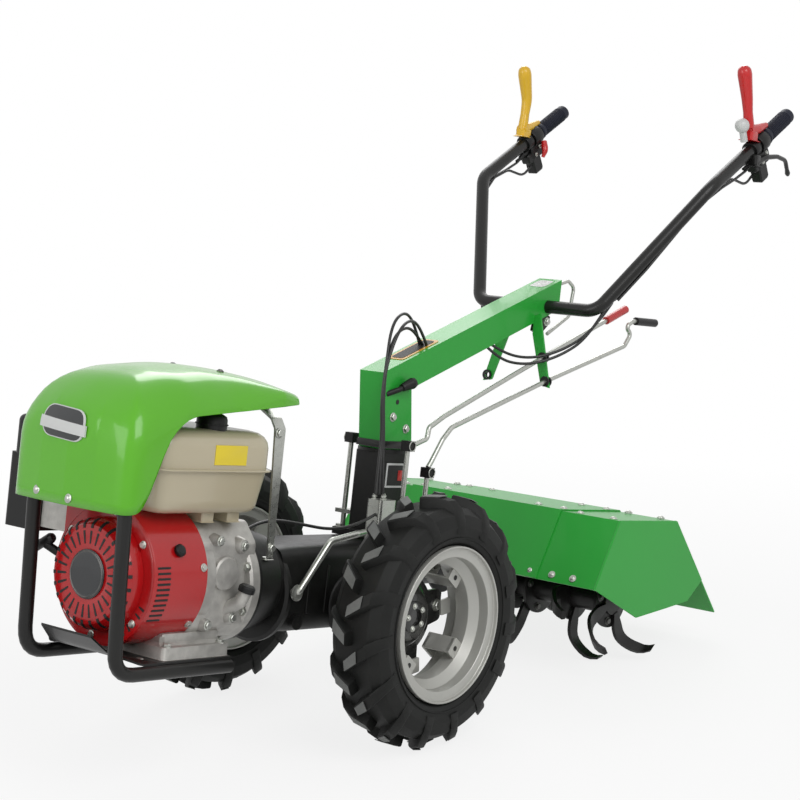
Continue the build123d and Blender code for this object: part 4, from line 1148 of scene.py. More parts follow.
@dataclass
class Engine(Assembly):
    """The petrol engine: red fan shroud and starter, alloy block, silencer and air cleaner."""

    crank: float = 61.0
    face: float = 562.0
    nose: float = 600.0
    shroud_radius: float = 122.4

    def build(self) -> None:
        """Makes the engine's pieces."""
        self._starter()
        self._shroud()
        self._block()
        self._exhaust()
        self._far_side()

    def _starter(self) -> None:
        """The red starter cover with its air slots drawn as dark pieces of painted shade, its blank badge and
        parked handle.
        """
        front = (self.face, 0.0, self.crank)
        rows = [(97, 0.3), (97, 8), (95, 20), (91, 30), (84, 36.4), (74, 38), (50, 38), (46, 36.5),
            (10, 36.5)]
        self.turned("starter_cover_red", RED_PAINT, rows, front, (1, 0, 0), 72, "recoil_cover")
        work = Workpiece()
        # Each slot is a dark piece laid on the cover: painted shade in its opening.
        for angle in round_trip(26, 6):
            self._radial_slot(work, angle, (51.0, 73.5), self.nose, 2.6)
        for angle in round_trip(26, 6):
            self._sloped_slot(work, angle)
        self.put("starter_slots", BLACK_SHADE_AND_PRINT, work)
        badge = [(42, 36), (42, 38.6), (39, 40.2), (34, 40.4), (12, 40.4)]
        self.turned("starter_blank_badge", BADGE_BLACK, badge, front, (1, 0, 0), 48)
        lip = [(40.5, 40.0), (38.5, 41.2), (37.0, 40.2)]
        self.turned("starter_badge_ring", DULL_STEEL, lip, front, (1, 0, 0), 48, looped=True)
        handle = Workpiece().tube([(584, -84, 80), (603, -106, 96)], 7.5, 0, 14)
        handle.tube([(600, -138, 86), (603, -114, 97), (600, -92, 110)],
            ((0, 7), (0.1, 9.5), (0.5, 8), (0.9, 9.5), (1, 7)), 20, 16)
        self.put("starter_pull_handle", BLACK_MOULDING, handle, "recoil_handle")

    def _radial_slot(self, work: Workpiece, angle: float, radii: Flat, face: float, half: float) -> None:
        """One thin dark piece of painted shade where a slot opens in a flat round face."""
        c, s = math.cos(angle), math.sin(angle)
        inner, outer = radii
        flat = rounded([(inner, -half * 0.6), (outer, -half), (outer, half), (inner, half * 0.6)], 1.4, 3)
        depths = (face - 0.6, face + 0.4)
        work.loft([[(x, r * c - t * s, self.crank + r * s + t * c) for r, t in flat] for x in depths])

    def _sloped_slot(self, work: Workpiece, angle: float) -> None:
        """One dark piece of painted shade for a slot that follows the starter's sloped rim."""
        c, s = math.cos(angle), math.sin(angle)
        rings = []
        for r, x in ((78.0, 599.9), (84.4, 598.9), (91.4, 592.4), (94.6, 585.0)):
            ring = []
            for t, lift in ((-2.9, -0.8), (-2.9, 0.35), (2.9, 0.35), (2.9, -0.8)):
                rr = r + lift * 0.6
                ring.append((x + lift * 0.8, rr * c - t * s, self.crank + rr * s + t * c))
            rings.append(ring)
        work.loft(rings)

    def _shroud(self) -> None:
        """The shroud's rim, its lower vents drawn as dark slits of painted shade, plug and screws."""
        vents = Workpiece()
        # Dark slits in the vents' openings: painted shade.
        for angle in range(-72, -22, 8):
            self._radial_slot(vents, math.radians(angle), (101.0, 115.0), self.face, 2.4)
        for z in range(-2, 96, 9):
            vents.block((524, 553), (self._wall(z) - 0.5, self._wall(z) + 0.5), (z - 1.8, z + 1.8), 0.0)
        self.put("shroud_vents", BLACK_SHADE_AND_PRINT, vents)
        rim = [(122.4, 556.0), (122.4, 559.0), (120.0, 562.6), (117.0, 562.8), (117.0, 560.0), (118.0, 556.0)]
        self.turned("shroud_rolled_rim", RED_PAINT, rim, (0, 0, self.crank), (1, 0, 0), 96, looped=True)
        self.turned("shroud_plug", BLACK_MOULDING, [(11, -2), (11, 3), (8, 6), (3, 6.5)], (500, 113, 116),
            (0, 0.86, 0.5), 20)
        screws = []
        for angle in (35, 80, 145, 215, 262, 318):
            a = math.radians(angle)
            screws.append(Stitch((self.face + 0.3, 108 * math.cos(a), self.crank + 108 * math.sin(a)),
                (1, 0, 0)))
        for angle in (12, -38):
            a = math.radians(angle)
            screws.append(Stitch((446, 122.2 * math.cos(a), self.crank + 122.2 * math.sin(a)),
                (0, math.cos(a), math.sin(a))))
        self.bolts("shroud_screws", ZINC, screws, 5.5)

    def _wall(self, z: float) -> float:
        """The shroud's near side at a height."""
        return math.sqrt(self.shroud_radius ** 2 - (z - self.crank) ** 2)

    def _block(self) -> None:
        """The alloy block: its side cover, fins, rings, bosses and base, and the clutch housing."""
        work = Workpiece()
        case = [(-66, -48), (66, -48), (92, -22), (92, 122), (62, 158), (-62, 158), (-92, 122), (-92, -22)]
        work.loft([[(x, y * k, 55 + (z - 55) * k) for y, z in rounded(case, 16, 4)] for x,
            k in ((288.3, 0.97), (292, 1.0), (431, 1.0), (436, 0.985))])
        work.lathe([(110, 288.3), (110, 306), (106, 311), (92, 312)], (0, 0, 41), (1, 0, 0), 72)
        work.lathe([(104, 396), (108, 400), (108, 424), (104, 428), (90, 430)], (0, 0, 55), (1, 0, 0), 64)
        for x, z, r in ((330, 118, 13), (344, -8, 11), (404, -18, 10), (392, 128, 9)):
            work.lathe([(r + 3, 84), (r, 98), (r - 2, 101), (r - 5, 101.5)], (x, 0, z), (0, 1, 0), 24)
        work.prism(rounded(oblong((348, 506), (-106, 106)), 8, 4), "XY", -73, -51, 2.0)
        work.block((356, 496), (-88, 88), (-52, -30), 6.0)
        fin = Workpiece().block((-1.8, 1.8), (0, 8), (-36, 40), 0.8)
        fins = [Stitch((x, 91, 48), (0, 0, 1)) for x in (318, 334, 350, 366, 382)]
        work.add(self.copies(fin, fins, ALLOY))
        work.lathe([(30, 90), (30, 99), (27, 102), (10, 103)], (366, 0, 70), (0, 1, 0), 36)
        self.put("engine_block_cast", ALLOY, work, "crankcase")
        neck = Workpiece().tube([(352, 78, -2), (338, 112, 22), (334, 118, 40)], 12, 12, 18)
        self.put("engine_oil_neck", ALLOY, neck)
        self.turned("engine_oil_cap", BLACK_MOULDING, [(15, 0), (15, 9), (12, 12), (5, 12.5)],
            (333.4, 118.6, 40), (-0.1, 0.25, 1), 20)
        ring = [Stitch((311, 102 * math.cos(a), 41 + 102 * math.sin(a)), (1, 0, 0))
            for a in round_trip(8, 22)]
        side = [Stitch((x, 101.5, z), (0, 1, 0)) for x, z in ((330, 118), (344, -8), (404, -18), (392, 128))]
        feet = [Stitch((x, y, -51), (0, 0, 1)) for x in (362, 492) for y in (-97, 97)]
        self.bolts("engine_bolts", ZINC, ring + side + feet, 7.0)
        bell = [(84, 195), (84, 205), (88, 209), (95, 240), (103, 276), (109, 281), (109, 288), (60, 288)]
        self.turned("bell_housing_cast", BLACK_IRON, bell, (0, 0, 41), (1, 0, 0), 64, "bell_housing")

    def _exhaust(self) -> None:
        """The silencer's guard slots, drawn as dark strips of painted shade."""
        slots = Workpiece()
        # Dark strips in the guard's slots: painted shade in their openings.
        for row in range(5):
            slots.block((316, 424), (-175.9, -174.9), (232 + row * 14, 237 + row * 14), 0.0)
            slots.block((303.4, 304.2), (-268, -196), (232 + row * 14, 237 + row * 14), 0.0)
        self.put("silencer_slots", BLACK_SHADE_AND_PRINT, slots)

    def _far_side(self) -> None:
        """The finned head on the engine's far side and the air cleaner's knob."""
        lean = math.radians(25.0)
        fin = Workpiece().prism(rounded(oblong((-62, 62), (-62, 62)), 8, 3), "XY", -1.2, 1.2)
        axis = (0.0, -math.cos(lean), math.sin(lean))
        fins = []
        for step in range(7):
            along = 118.0 + 12.0 * step
            fins.append(Stitch((372, axis[1] * along, self.crank + axis[2] * along), axis))
        self.put("cylinder_fins", ALLOY, Workpiece().add(self.copies(fin, fins, ALLOY)))
        self.turned("air_cleaner_knob", BLACK_MOULDING, [(12, 0), (12, 5), (9, 9), (4, 9.5)],
            (511, -216, 305), (0, 0, 1), 24)


@dataclass
class Column(Assembly):
    """The handlebar column's fittings: slot with a dark plate of painted shade in it, knob, bolts, collar, a
    hole drawn as a dark disc of painted shade, and blank plates.
    """

    home: ClassVar[Body] = Body.COLUMN
    lean: float = 21.8
    crown: Flat = (-90.0, 438.0)
    side: float = 30.0

    def build(self) -> None:
        """Makes the column's pieces."""
        plates = (
            ("arm_slot_liner", SLOT_ORANGE, (-268, -156), 21, -0.6, 1.2),
            # A black plate of painted shade in the slot's opening.
            ("arm_slot", BLACK_SHADE_AND_PRINT, (-262, -162), 15, 0.4, 1.8),
            ("arm_blank_label", PLATE_PALE, (-652, -612), 19, -0.4, 0.6),
        )
        for name, finish, *sizes in plates:
            self.put(name, finish, self._top_plate(*sizes))
        stem = Workpiece().tube([(-108, 27, 396), (-134, 40, 408), (-152, 44, 418)], 5.5, 8, 14)
        stem.tube([(-138, 41, 411), (-168, 47, 424)], ((0, 7.5), (0.15, 8.5), (0.8, 11.5), (1, 9.5)), 0, 18)
        self.put("column_pull_knob", BLACK_MOULDING, stem)
        collar = Workpiece()
        collar.block((-205, -106), (30.2, 34), (291, 305), 1.0).block((-205, -106), (-34, -30.2), (291, 305),
            1.0)
        collar.block((-109.8, -106), (-34, 34), (291, 305), 1.0).block((-206, -202.2), (-34, 34), (291, 305),
            1.0)
        self.put("column_collar", BLACK_PAINT, collar)
        bolts = [Stitch((-132, self.side, 352), (0, 1, 0)), Stitch((-176, self.side, 330), (0, 1, 0))]
        bolts += [Stitch((-132, -self.side, 352), (0, -1, 0)), Stitch((-622, self.side + 1, 574), (0, 1, 0)),
            Stitch((-622, -self.side - 1, 574), (0, -1, 0))]
        self.bolts("column_bolts", ZINC, bolts, 7.0)
        # A black disc of painted shade in the column's hole.
        self.turned("column_hole", BLACK_SHADE_AND_PRINT, [(5, -0.5), (5, 0.5)], (-142, self.side, 382), (0, 1, 0), 20)
        fields = (
            ("post_blank_plate", PLATE_PALE, (-176, -122), (35.6, 37), (214, 262), 0.3),
            ("post_blank_arrow_field", BLACK_SHADE_AND_PRINT, (-172, -126), (36.8, 37.5), (218, 258), 0.2),
            ("post_red_patch", PLATE_RED, (-171, -158), (37.3, 38.1), (228, 248), 0.2),
        )
        for name, finish, *sizes in fields:
            self.put(name, finish, Workpiece().block(*sizes), body=Body.CHASSIS)
        post = [Stitch((x, y, 126), (0, 0, 1)) for x in (-176, -94) for y in (-45, 45)]
        self.bolts("post_foot_bolts", ZINC, post, 7.0, body=Body.CHASSIS)
        rings = Workpiece()
        for x, y, z in ((-137, 82.2, 300.6), (-137, -82.2, 300.6), (-202, 86.2, 249.6)):
            loop = [(9.5 + 1.1 * math.cos(a), 1.1 * math.sin(a)) for a in round_trip(6)]
            rings.lathe(loop, (x, y + math.copysign(1.2, y), z), (0, 1, 0), 28, looped=True)
        self.put("coupling_pin_rings", ZINC, rings)

    def _top_plate(self, x: Flat, half: float, low: float, high: float) -> Workpiece:
        """A thin plate on the arm's sloping top."""
        rise, slope = math.tan(math.radians(self.lean)), math.radians(self.lean)
        rings = []
        for lift in (low, high):
            flat = rounded(oblong(x, (-half, half)), 8.0, 4)
            up, shift = lift * math.cos(slope), lift * math.sin(slope)
            rings.append([(a + shift, y, self.crown[1] + (self.crown[0] - a) * rise + up) for a, y in flat])
        return Workpiece().loft(rings)


@dataclass
class Bars(Assembly):
    """The handlebar's grips, clamps, levers, controls and the cables that are tied to it."""

    home: ClassVar[Body] = Body.HANDLEBAR
    spread: float = 303.0
    knee: Flat = (-785.0, 895.0)
    end: Flat = (-1077.0, 1090.0)

    def build(self) -> None:
        """Makes the handlebar's pieces."""
        self._grips()
        self._clamps()
        self._levers()
        self._squeeze_lever()
        self._cables()

    def _at(self, back: float, side: int, up: float = 0.0, out: float = 0.0) -> Point:
        """A point beside a tube, at a distance from its rear end."""
        run = math.dist(self.knee, self.end)
        ux, uz = (self.knee[0] - self.end[0]) / run, (self.knee[1] - self.end[1]) / run
        return (self.end[0] + ux * back - uz * up, side * (self.spread + out),
            self.end[1] + uz * back + ux * up)

    def _grips(self) -> None:
        """The rubber grips with their ribs."""
        work = Workpiece()
        run = Vector(self._at(10, 1)) - Vector(self._at(0, 1))
        along = tuple(run.normalized())
        rib = Workpiece().lathe([(16.6, -1.5), (17.9, -0.6), (17.9, 0.6), (16.6, 1.5)], (0, 0, 0), (0, 0, 1),
            32)
        places = []
        for side in (1, -1):
            work.lathe([(12, -3), (16.5, -3), (17.2, 0), (16.2, 6), (16.2, 96), (17.4, 102), (19.5, 105),
                (19.5, 110), (17, 112)], self._at(0, side), along, 32)
            places += [Stitch(self._at(14 + 5.2 * i, side), along) for i in range(16)]
        work.add(self.copies(rib, places, GRIP_BLUE))
        self.put("grip_rubbers", GRIP_BLUE, work, "grips")

    def _clamps(self) -> None:
        """The black clamps and housings under the levers, with their screws."""
        run = Vector(self._at(10, 1)) - Vector(self._at(0, 1))
        along = tuple(run.normalized())
        work, red = Workpiece(), Workpiece()
        screws = []
        for side in (1, -1):
            work.lathe([(14.2, 118), (21, 118), (22.5, 121), (22.5, 148), (21, 151), (14.2, 151)],
                self._at(0, side), along, 32)
            work.lathe([(14.2, 156), (18.5, 156), (19.5, 158), (19.5, 176), (18.5, 178), (14.2, 178)],
                self._at(0, side), along, 32)
            middle = Vector(self._at(146, side, -30))
            turn = Matrix.Translation(middle) @ Matrix.Rotation(math.radians(34), 4, "Y")
            for size, place in (((24, 15, 16), (0, 0, 0)), ((14, 12, 12), (26, 0, -8)),
                    ((17, 13, 21), (10, 0, -30))):
                shape = rounded(oblong((-size[0], size[0]), (-size[2], size[2])), 7, 4)
                levels = ((-size[1], 0.82), (-size[1] + 3, 1.0), (size[1] - 3, 1.0), (size[1], 0.82))
                work.loft([[turn @ Vector((place[0] + a * k, y, place[2] + b * k)) for a, b in shape] for y,
                    k in levels])
            for back, up in ((136, -24), (156, -36)):
                screws.append(Stitch(self._at(back, side, up, 14.0 if side > 0 else -14.0), (0, 1, 0)))
            for back in (171, 188):
                spot = self._at(back, side, -21)
                work.tube([spot, self._at(back + 14, side, -25), self._at(back + 30, side, -24)],
                    ((0, 6.5), (0.4, 6.0), (0.6, 4.2), (1, 3.4)), 8, 14)
        red.tube([self._at(126, -1, -16, -22), self._at(140, -1, -34, -30), self._at(150, -1, -46, -26)],
            ((0, 7), (0.4, 8), (1, 4)), 12, 16)
        red.block((-971, -943), (293, 313), (1012, 1022), 3.0)
        self.put("bar_clamps", BLACK_MOULDING, work, "control_blocks")
        self.put("bar_red_bits", RED_MOULDING, red)
        self.bolts("bar_clamp_screws", ZINC, screws, 4.0)

    def _levers(self) -> None:
        """The upright red and yellow levers with their feet, and the pale ball."""
        table = ((0.0, 12.0), (0.25, 10.6), (0.6, 13.6), (0.86, 16.0), (0.94, 14.6), (0.98, 11.0), (1.0, 5.5))
        both = (
            ("lever_red_near", RED_MOULDING, "red_lever",
                [(-914, 303, 1040), (-896, 301, 1100), (-870, 299, 1167)],
             ((-921, 303, 1028), (0.3, 0, 1)), ((-936, -906), (289, 317), (1012, 1034)),
             [(-912, 303, 1032), (-948, 305, 1042), (-982, 306, 1056)]),
            ("lever_yellow_far", YELLOW_MOULDING, "yellow_lever",
                [(-920, -303, 1026), (-922, -301, 1096), (-893, -299, 1171)],
             ((-924, -303, 1022), (0.1, 0, 1)), ((-942, -908), (-315, -291), (1008, 1028)),
             [(-914, -303, 1024), (-950, -305, 1036), (-984, -306, 1052)]),
        )
        for name, finish, node, stem, foot, base, thumb in both:
            work = Workpiece().tube(stem, table, 60, 20)
            work.lathe([(13, 0), (13, 6), (10, 12), (7, 14)], *foot, 24)
            work.block(*base, 4.0)
            work.tube(thumb, ((0, 13), (0.5, 11), (1, 6)), 20, 16)
            self.put(name, finish, work, node)
        ball = Workpiece().ball((-884, 303, 1040), 16.0).tube([(-900, 303, 1008), (-886, 303, 1036)], 8, 0,
            16)
        self.put("lever_pale_ball", PLATE_PALE, ball)

    def _squeeze_lever(self) -> None:
        """The flat black squeeze lever under the near grip."""
        line = [(-932, 318, 966), (-972, 322, 984), (-1020, 322, 992), (-1066, 318, 990), (-1108, 306, 962)]
        work = Workpiece().tube(line, ((0, 8.5), (0.15, 6.0), (0.5, 5.0), (0.9, 4.6), (0.97, 6.2), (1, 4.0)),
            40, 16)
        work.block((-944, -922), (300, 326), (958, 984), 4.0)
        self.put("squeeze_lever_black", BLACK_PAINT, work, "hand_lever")

    def _cables(self) -> None:
        """The cables that lie along both tubes."""
        work = Workpiece()
        for side in (1, -1):
            for shift, out, bow in ((-18.0, 3.0, -24.0), (-17.0, -5.0, -58.0)):
                line = [self._at(178, side, bow, out), self._at(214, side, bow - 6, out),
                    self._at(262, side, shift - 8, out), self._at(318, side, shift, out)]
                line += [(-764, side * (287 + out), 852), (-694, side * (218 + out), 706),
                    (-658, side * (178 + out), 634)]
                work.tube(line, 3.0, 46, 10)
        self.put("bar_tied_cables", CABLE_BLACK, work)


@dataclass
class Cables(Assembly):
    """The free control cables between the handlebar, the column and the gear casing."""

    diameter: float = 0.006

    def build(self) -> None:
        """Makes the free cables, with their points in the level machine's metres."""
        for number, (sway, lift, foot) in enumerate(((0.0, 0.0, 0.0), (0.010, 0.016, 0.012),
                (-0.008, 0.030, 0.022))):
            route = [(-0.236, 0.004 + sway, 0.497), (-0.206, 0.008 + sway, 0.520 + lift * 0.7),
                (-0.158, 0.018 + sway, 0.532 + lift)]
            route += [(-0.108, 0.030 + sway, 0.508 + lift * 0.8), (-0.080, 0.042, 0.448),
                (-0.076 + foot * 0.3, 0.048, 0.384), (-0.084 + foot * 0.3, 0.052, 0.318)]
            route += [(-0.080 + foot * 0.6, 0.060, 0.256), (-0.082 + foot, 0.066, 0.204)]
            self._cord(f"gear_cable_{number + 1}", Body.COLUMN, route, Body.CHASSIS, (8, 4))
        bow = [(-0.652, 0.172, 0.628), (-0.632, 0.146, 0.566), (-0.588, 0.104, 0.516), (-0.528, 0.060, 0.490),
            (-0.468, 0.026, 0.500), (-0.424, 0.008, 0.526)]
        self._cord("near_bar_cable", Body.COLUMN, bow, Body.HANDLEBAR, (0, 3))
        self._cord("near_bar_cable_2", Body.COLUMN,
            [(x + 0.012, y, z - 0.014 if 0 < i < 5 else z) for i,
            (x, y, z) in enumerate(bow)], Body.HANDLEBAR, (0, 3))
        self._cord("far_bar_cable", Body.COLUMN, [(x + 0.004, -y, z + 0.01) for x, y, z in bow],
            Body.HANDLEBAR, (0, 3))
        throttle = [(-0.048, 0.080, 0.168), (0.010, 0.090, 0.150), (0.080, 0.082, 0.140),
            (0.150, 0.066, 0.150), (0.216, 0.060, 0.158), (0.276, 0.066, 0.150), (0.300, 0.070, 0.140)]
        self._cord("throttle_cable", Body.CHASSIS, throttle)

    @staticmethod
    def _as_tube(cable: bpy.types.Object) -> tuple[bpy.types.Object, list[tuple[float, ...]]]:
        """Turns a cable's curve into a fixed tube mesh.

        Args:
            cable: The curve's object.

        Returns:
            The tube's object and the points that it follows.
        """
        def meshed(depth: float) -> bpy.types.Mesh:
            """The curve as a mesh, with a tube of the given radius."""
            cable.data.bevel_depth = depth
            bpy.context.view_layer.update()
            return bpy.data.meshes.new_from_object(cable.evaluated_get(bpy.context.evaluated_depsgraph_get()))

        tube = meshed(cable.data.bevel_depth)
        line = [tuple(vertex.co) for vertex in meshed(0.0).vertices]
        name, collection = cable.name, cable.users_collection[0]
        bpy.data.objects.remove(cable)
        made = bpy.data.objects.new(name, tube)
        collection.objects.link(made)
        for polygon in tube.polygons:
            polygon.use_smooth = True
        return made, line

    def _cord(self, name: str, body: Body, route: Sequence[Point], other: Body | None = None,
            span: tuple[int, int] = (0, 0)) -> None:
        """One free cable along a smooth spline.

        Args:
            name: The cable's name.
            body: The body that it rides on.
            route: Its points, in the level machine's metres.
            other: The body at its other end, where it crosses a joint.
            span: The points between which it passes from the other body to its own; not used.
        """
        curve = bpy.data.curves.new(name, "CURVE")
        curve.dimensions = "3D"
        curve.bevel_depth = self.diameter / 2
        curve.bevel_resolution = 3
        curve.resolution_u = 10
        curve.use_fill_caps = True
        spline = curve.splines.new("NURBS")
        spline.points.add(len(route) - 1)
        places = [self.shop.stance.matrix @ (Vector(point) / MM) for point in route]
        for row, place in zip(spline.points, places):
            row.co = (*place, 1.0)
        spline.order_u = 3
        spline.use_endpoint_u = True
        curve.materials.append(CABLE_BLACK.material())
        made = bpy.data.objects.new(name, curve)
        bpy.context.collection.objects.link(made)
        told = {"exit": tuple(places[0]), "diameter": self.diameter, "far_end": "object",
            "stiffness": "stiff", "lay": "hanging"}
        told["length"] = round(sum((b - a).length for a, b in zip(places, places[1:])) * SPLINE_SHARE, 3)
        if other is not None:
            made, told["path"] = self._as_tube(made)
            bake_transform(made)
        else:
            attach(made, body.value)
        LOG.info("made %s", name)


@dataclass
class GearCasing(Assembly):
    """The gear casing's rounded cast form, its flanges, boss and bolts, and the near lever."""

    def build(self) -> None:
        """Makes the casing's dressing."""
        work = Workpiece()
        for side in (1, -1):
            work.lathe([(60, 70), (58, 78), (54, 82), (46, 86), (43, 110), (43, 150), (52, 154), (52, 164),
                (44, 168), (20, 170)], (0, 0, 0), (0, side, 0), 48)
        work.lathe([(92, -4), (96, -1), (96, 8), (90, 12)], (186, 0, 20), (1, 0, 0), 56)
        work.lathe([(14, 0), (14, 8), (7, 8.5)], (150, 77, -30), (0, 1, 0), 24)
        box = rounded(oblong((-78, 78), (-52, 110)), 34, 8)
        rings = ((-187, 0.9), (-180, 0.98), (-172, 1.0), (150, 1.0), (176, 0.985), (195, 0.96))
        work.loft([[(x, y * k, 29 + (z - 29) * k) for y, z in box] for x, k in rings])
        work.lathe([(62, -205), (62, -187), (54, -184), (54, -170)], (0, 0, 62), (1, 0, 0), 48)
        for side in (1, -1):
            work.lathe([(15.1, 60), (42, 60), (42, 170), (15.1, 170)], (0, 0, 0), (0, side, 0), 48,
                looped=True)
        self.put("gear_casing_cast", BLACK_IRON, work, "gearbox")
        rib = Workpiece().block((-3, 3), (-3, 3), (-44, 44), 1.0)
        ribs = [Stitch((x, side * 77, 29), (0, 0, 1)) for x in (-140, -90, 70, 120) for side in (1, -1)]
        self.put("gear_casing_ribs", BLACK_IRON, Workpiece().add(self.copies(rib, ribs, BLACK_IRON)))
        bolts = []
        for angle in round_trip(6, 30):
            bolts += [Stitch((48 * math.cos(angle), side * 164, 48 * math.sin(angle)), (0, side, 0))
                for side in (1, -1)]
            bolts.append(Stitch((-186, 54 * math.cos(angle), 62 + 54 * math.sin(angle)), (1, 0, 0)))
        self.bolts("gear_casing_bolts", ZINC, bolts, 6.0)
        nuts = Workpiece()
        for x, y in ((-86, 66), (-72, 76), (-60, 64)):
            nuts.lathe([(3.4, 0), (3.4, 14)], (x, y, 192), (0, 0, 1), 14)
            nuts.lathe([(6, 1), (6, 5)], (x, y, 192), (0, 0, 1), 6).lathe([(5, 8), (5, 11)], (x, y, 192),
                (0, 0, 1), 6)
        self.put("cable_adjusters", ZINC, nuts)
        self.turned("near_lever_end_disc", ZINC, [(15, 0), (15, 3), (12, 4.5), (4, 4.5)], (183, 104, 30),
            (0, 1, 0), 28)


@dataclass
class Tiller(Assembly):
    """The tiller's bolts and folded edges, and the rotor's curved tines."""

    side: float = 337.4

    def build(self) -> None:
        """Makes the tiller's pieces."""
        top = [Stitch((x, y, 191.4 + (x + 511) * 0.0134), (0, 0, 1)) for y in (-184, -120, 120, 184)
            for x in (-536, -700)]
        top += [Stitch((x, y, 188), (0, 0, 1)) for y in (-230, 230, -310, 310) for x in (-530, -716)]
        self.bolts("tiller_cover_bolts", ZINC, top, 6.5, domed=True)
        low = [Stitch((-449.5, side * y, 63), (0.9, 0, 0.437)) for side in (1, -1) for y in (176, 230, 281)]
        self.bolts("tiller_front_bolts", ZINC, low, 6.0, domed=True)
        edge = Workpiece()
        for side in (1, -1):
            line = [(-444, 50), (-511, 188), (-735, 185), (-801, 120)]
            edge.tube([(x, side * self.side, z - 1.2) for x, z in line], 2.2, 6, 8)
        self.put("tiller_rolled_edges", SHEET_GREEN, edge)
        case = [Stitch((-625 + 46 * math.cos(a), side * 34, 10 + 46 * math.sin(a)), (0, side, 0))
            for a in round_trip(6) for side in (1, -1)]
        self.bolts("tiller_case_bolts", ZINC, case, 5.5)
        flange = []
        for side in (1, -1):
            for y in (86.0, 176.0, 264.0):
                for angle in round_trip(4, 9.7):
                    spot = (-625 + 44 * math.cos(angle), side * (y + 4), 10 + 44 * math.sin(angle))
                    flange.append(Stitch(spot, (0, side, 0)))
        self.bolts("tine_bolts", DULL_STEEL, flange, 6.5, body=Body.ROTOR)
        self._rotor()

    def _rotor(self) -> None:
        """The rotor tube, its flanges and the curved tines on them."""
        work = Workpiece().lathe([(30, -274), (30, 274)], ROTOR_AXIS, (0, 1, 0), 40)
        for side in (1, -1):
            for k, y in enumerate((86.0, 176.0, 264.0)):
                work.lathe([(56, y - 4), (58, y - 3), (58, y + 3), (56, y + 4)], ROTOR_AXIS, (0, side, 0), 40)
                out = side if k else -side
                turn = ROTOR_PHASE + 30.0 * (k - 1.5)
                blade = self._blade(out, 55.0 if k else 41.0)
                stitches = [Stitch((-625, side * y + out * 4, 10), (0, 1, 0), 90 * i + turn)
                    for i in range(4)]
                work.add(self.copies(blade, stitches, TINE_BLACK))
        self.put("tine_rotor_curved", TINE_BLACK, work, "tine_rotor", body=Body.ROTOR)

    @staticmethod
    def _blade(out: int, reach: float) -> Workpiece:
        """One tine: a flat bar that leans back and curls sideways, drawn about a local Z axis."""
        rings = []
        for i in range(15):
            t = i / 14
            radius = 30.0 + 106.0 * min(1.0, t * 1.12) - 4.0 * max(0.0, t - 0.8)
            back = 30.0 * max(0.0, t - 0.25) ** 1.6
            angle = math.radians(back)
            side = out * (reach * max(0.0, (t - 0.42) / 0.58) ** 1.9)
            half = 14.0 * (1.0 - 0.35 * max(0.0, t - 0.8) / 0.2)
            tilt = 0.9 * max(0.0, (t - 0.5) / 0.5)
            ring = []
            for a, b in ((-half, 0.0), (half, 0.0), (half, 7.5), (-half, 7.5)):
                r = min(139.5, radius - b * math.sin(tilt))
                spun = angle + a / max(radius, 60.0)
                ring.append((r * math.cos(spun), r * math.sin(spun), side + out * b * math.cos(tilt)))
            rings.append(ring)
        return Workpiece().loft(rings)


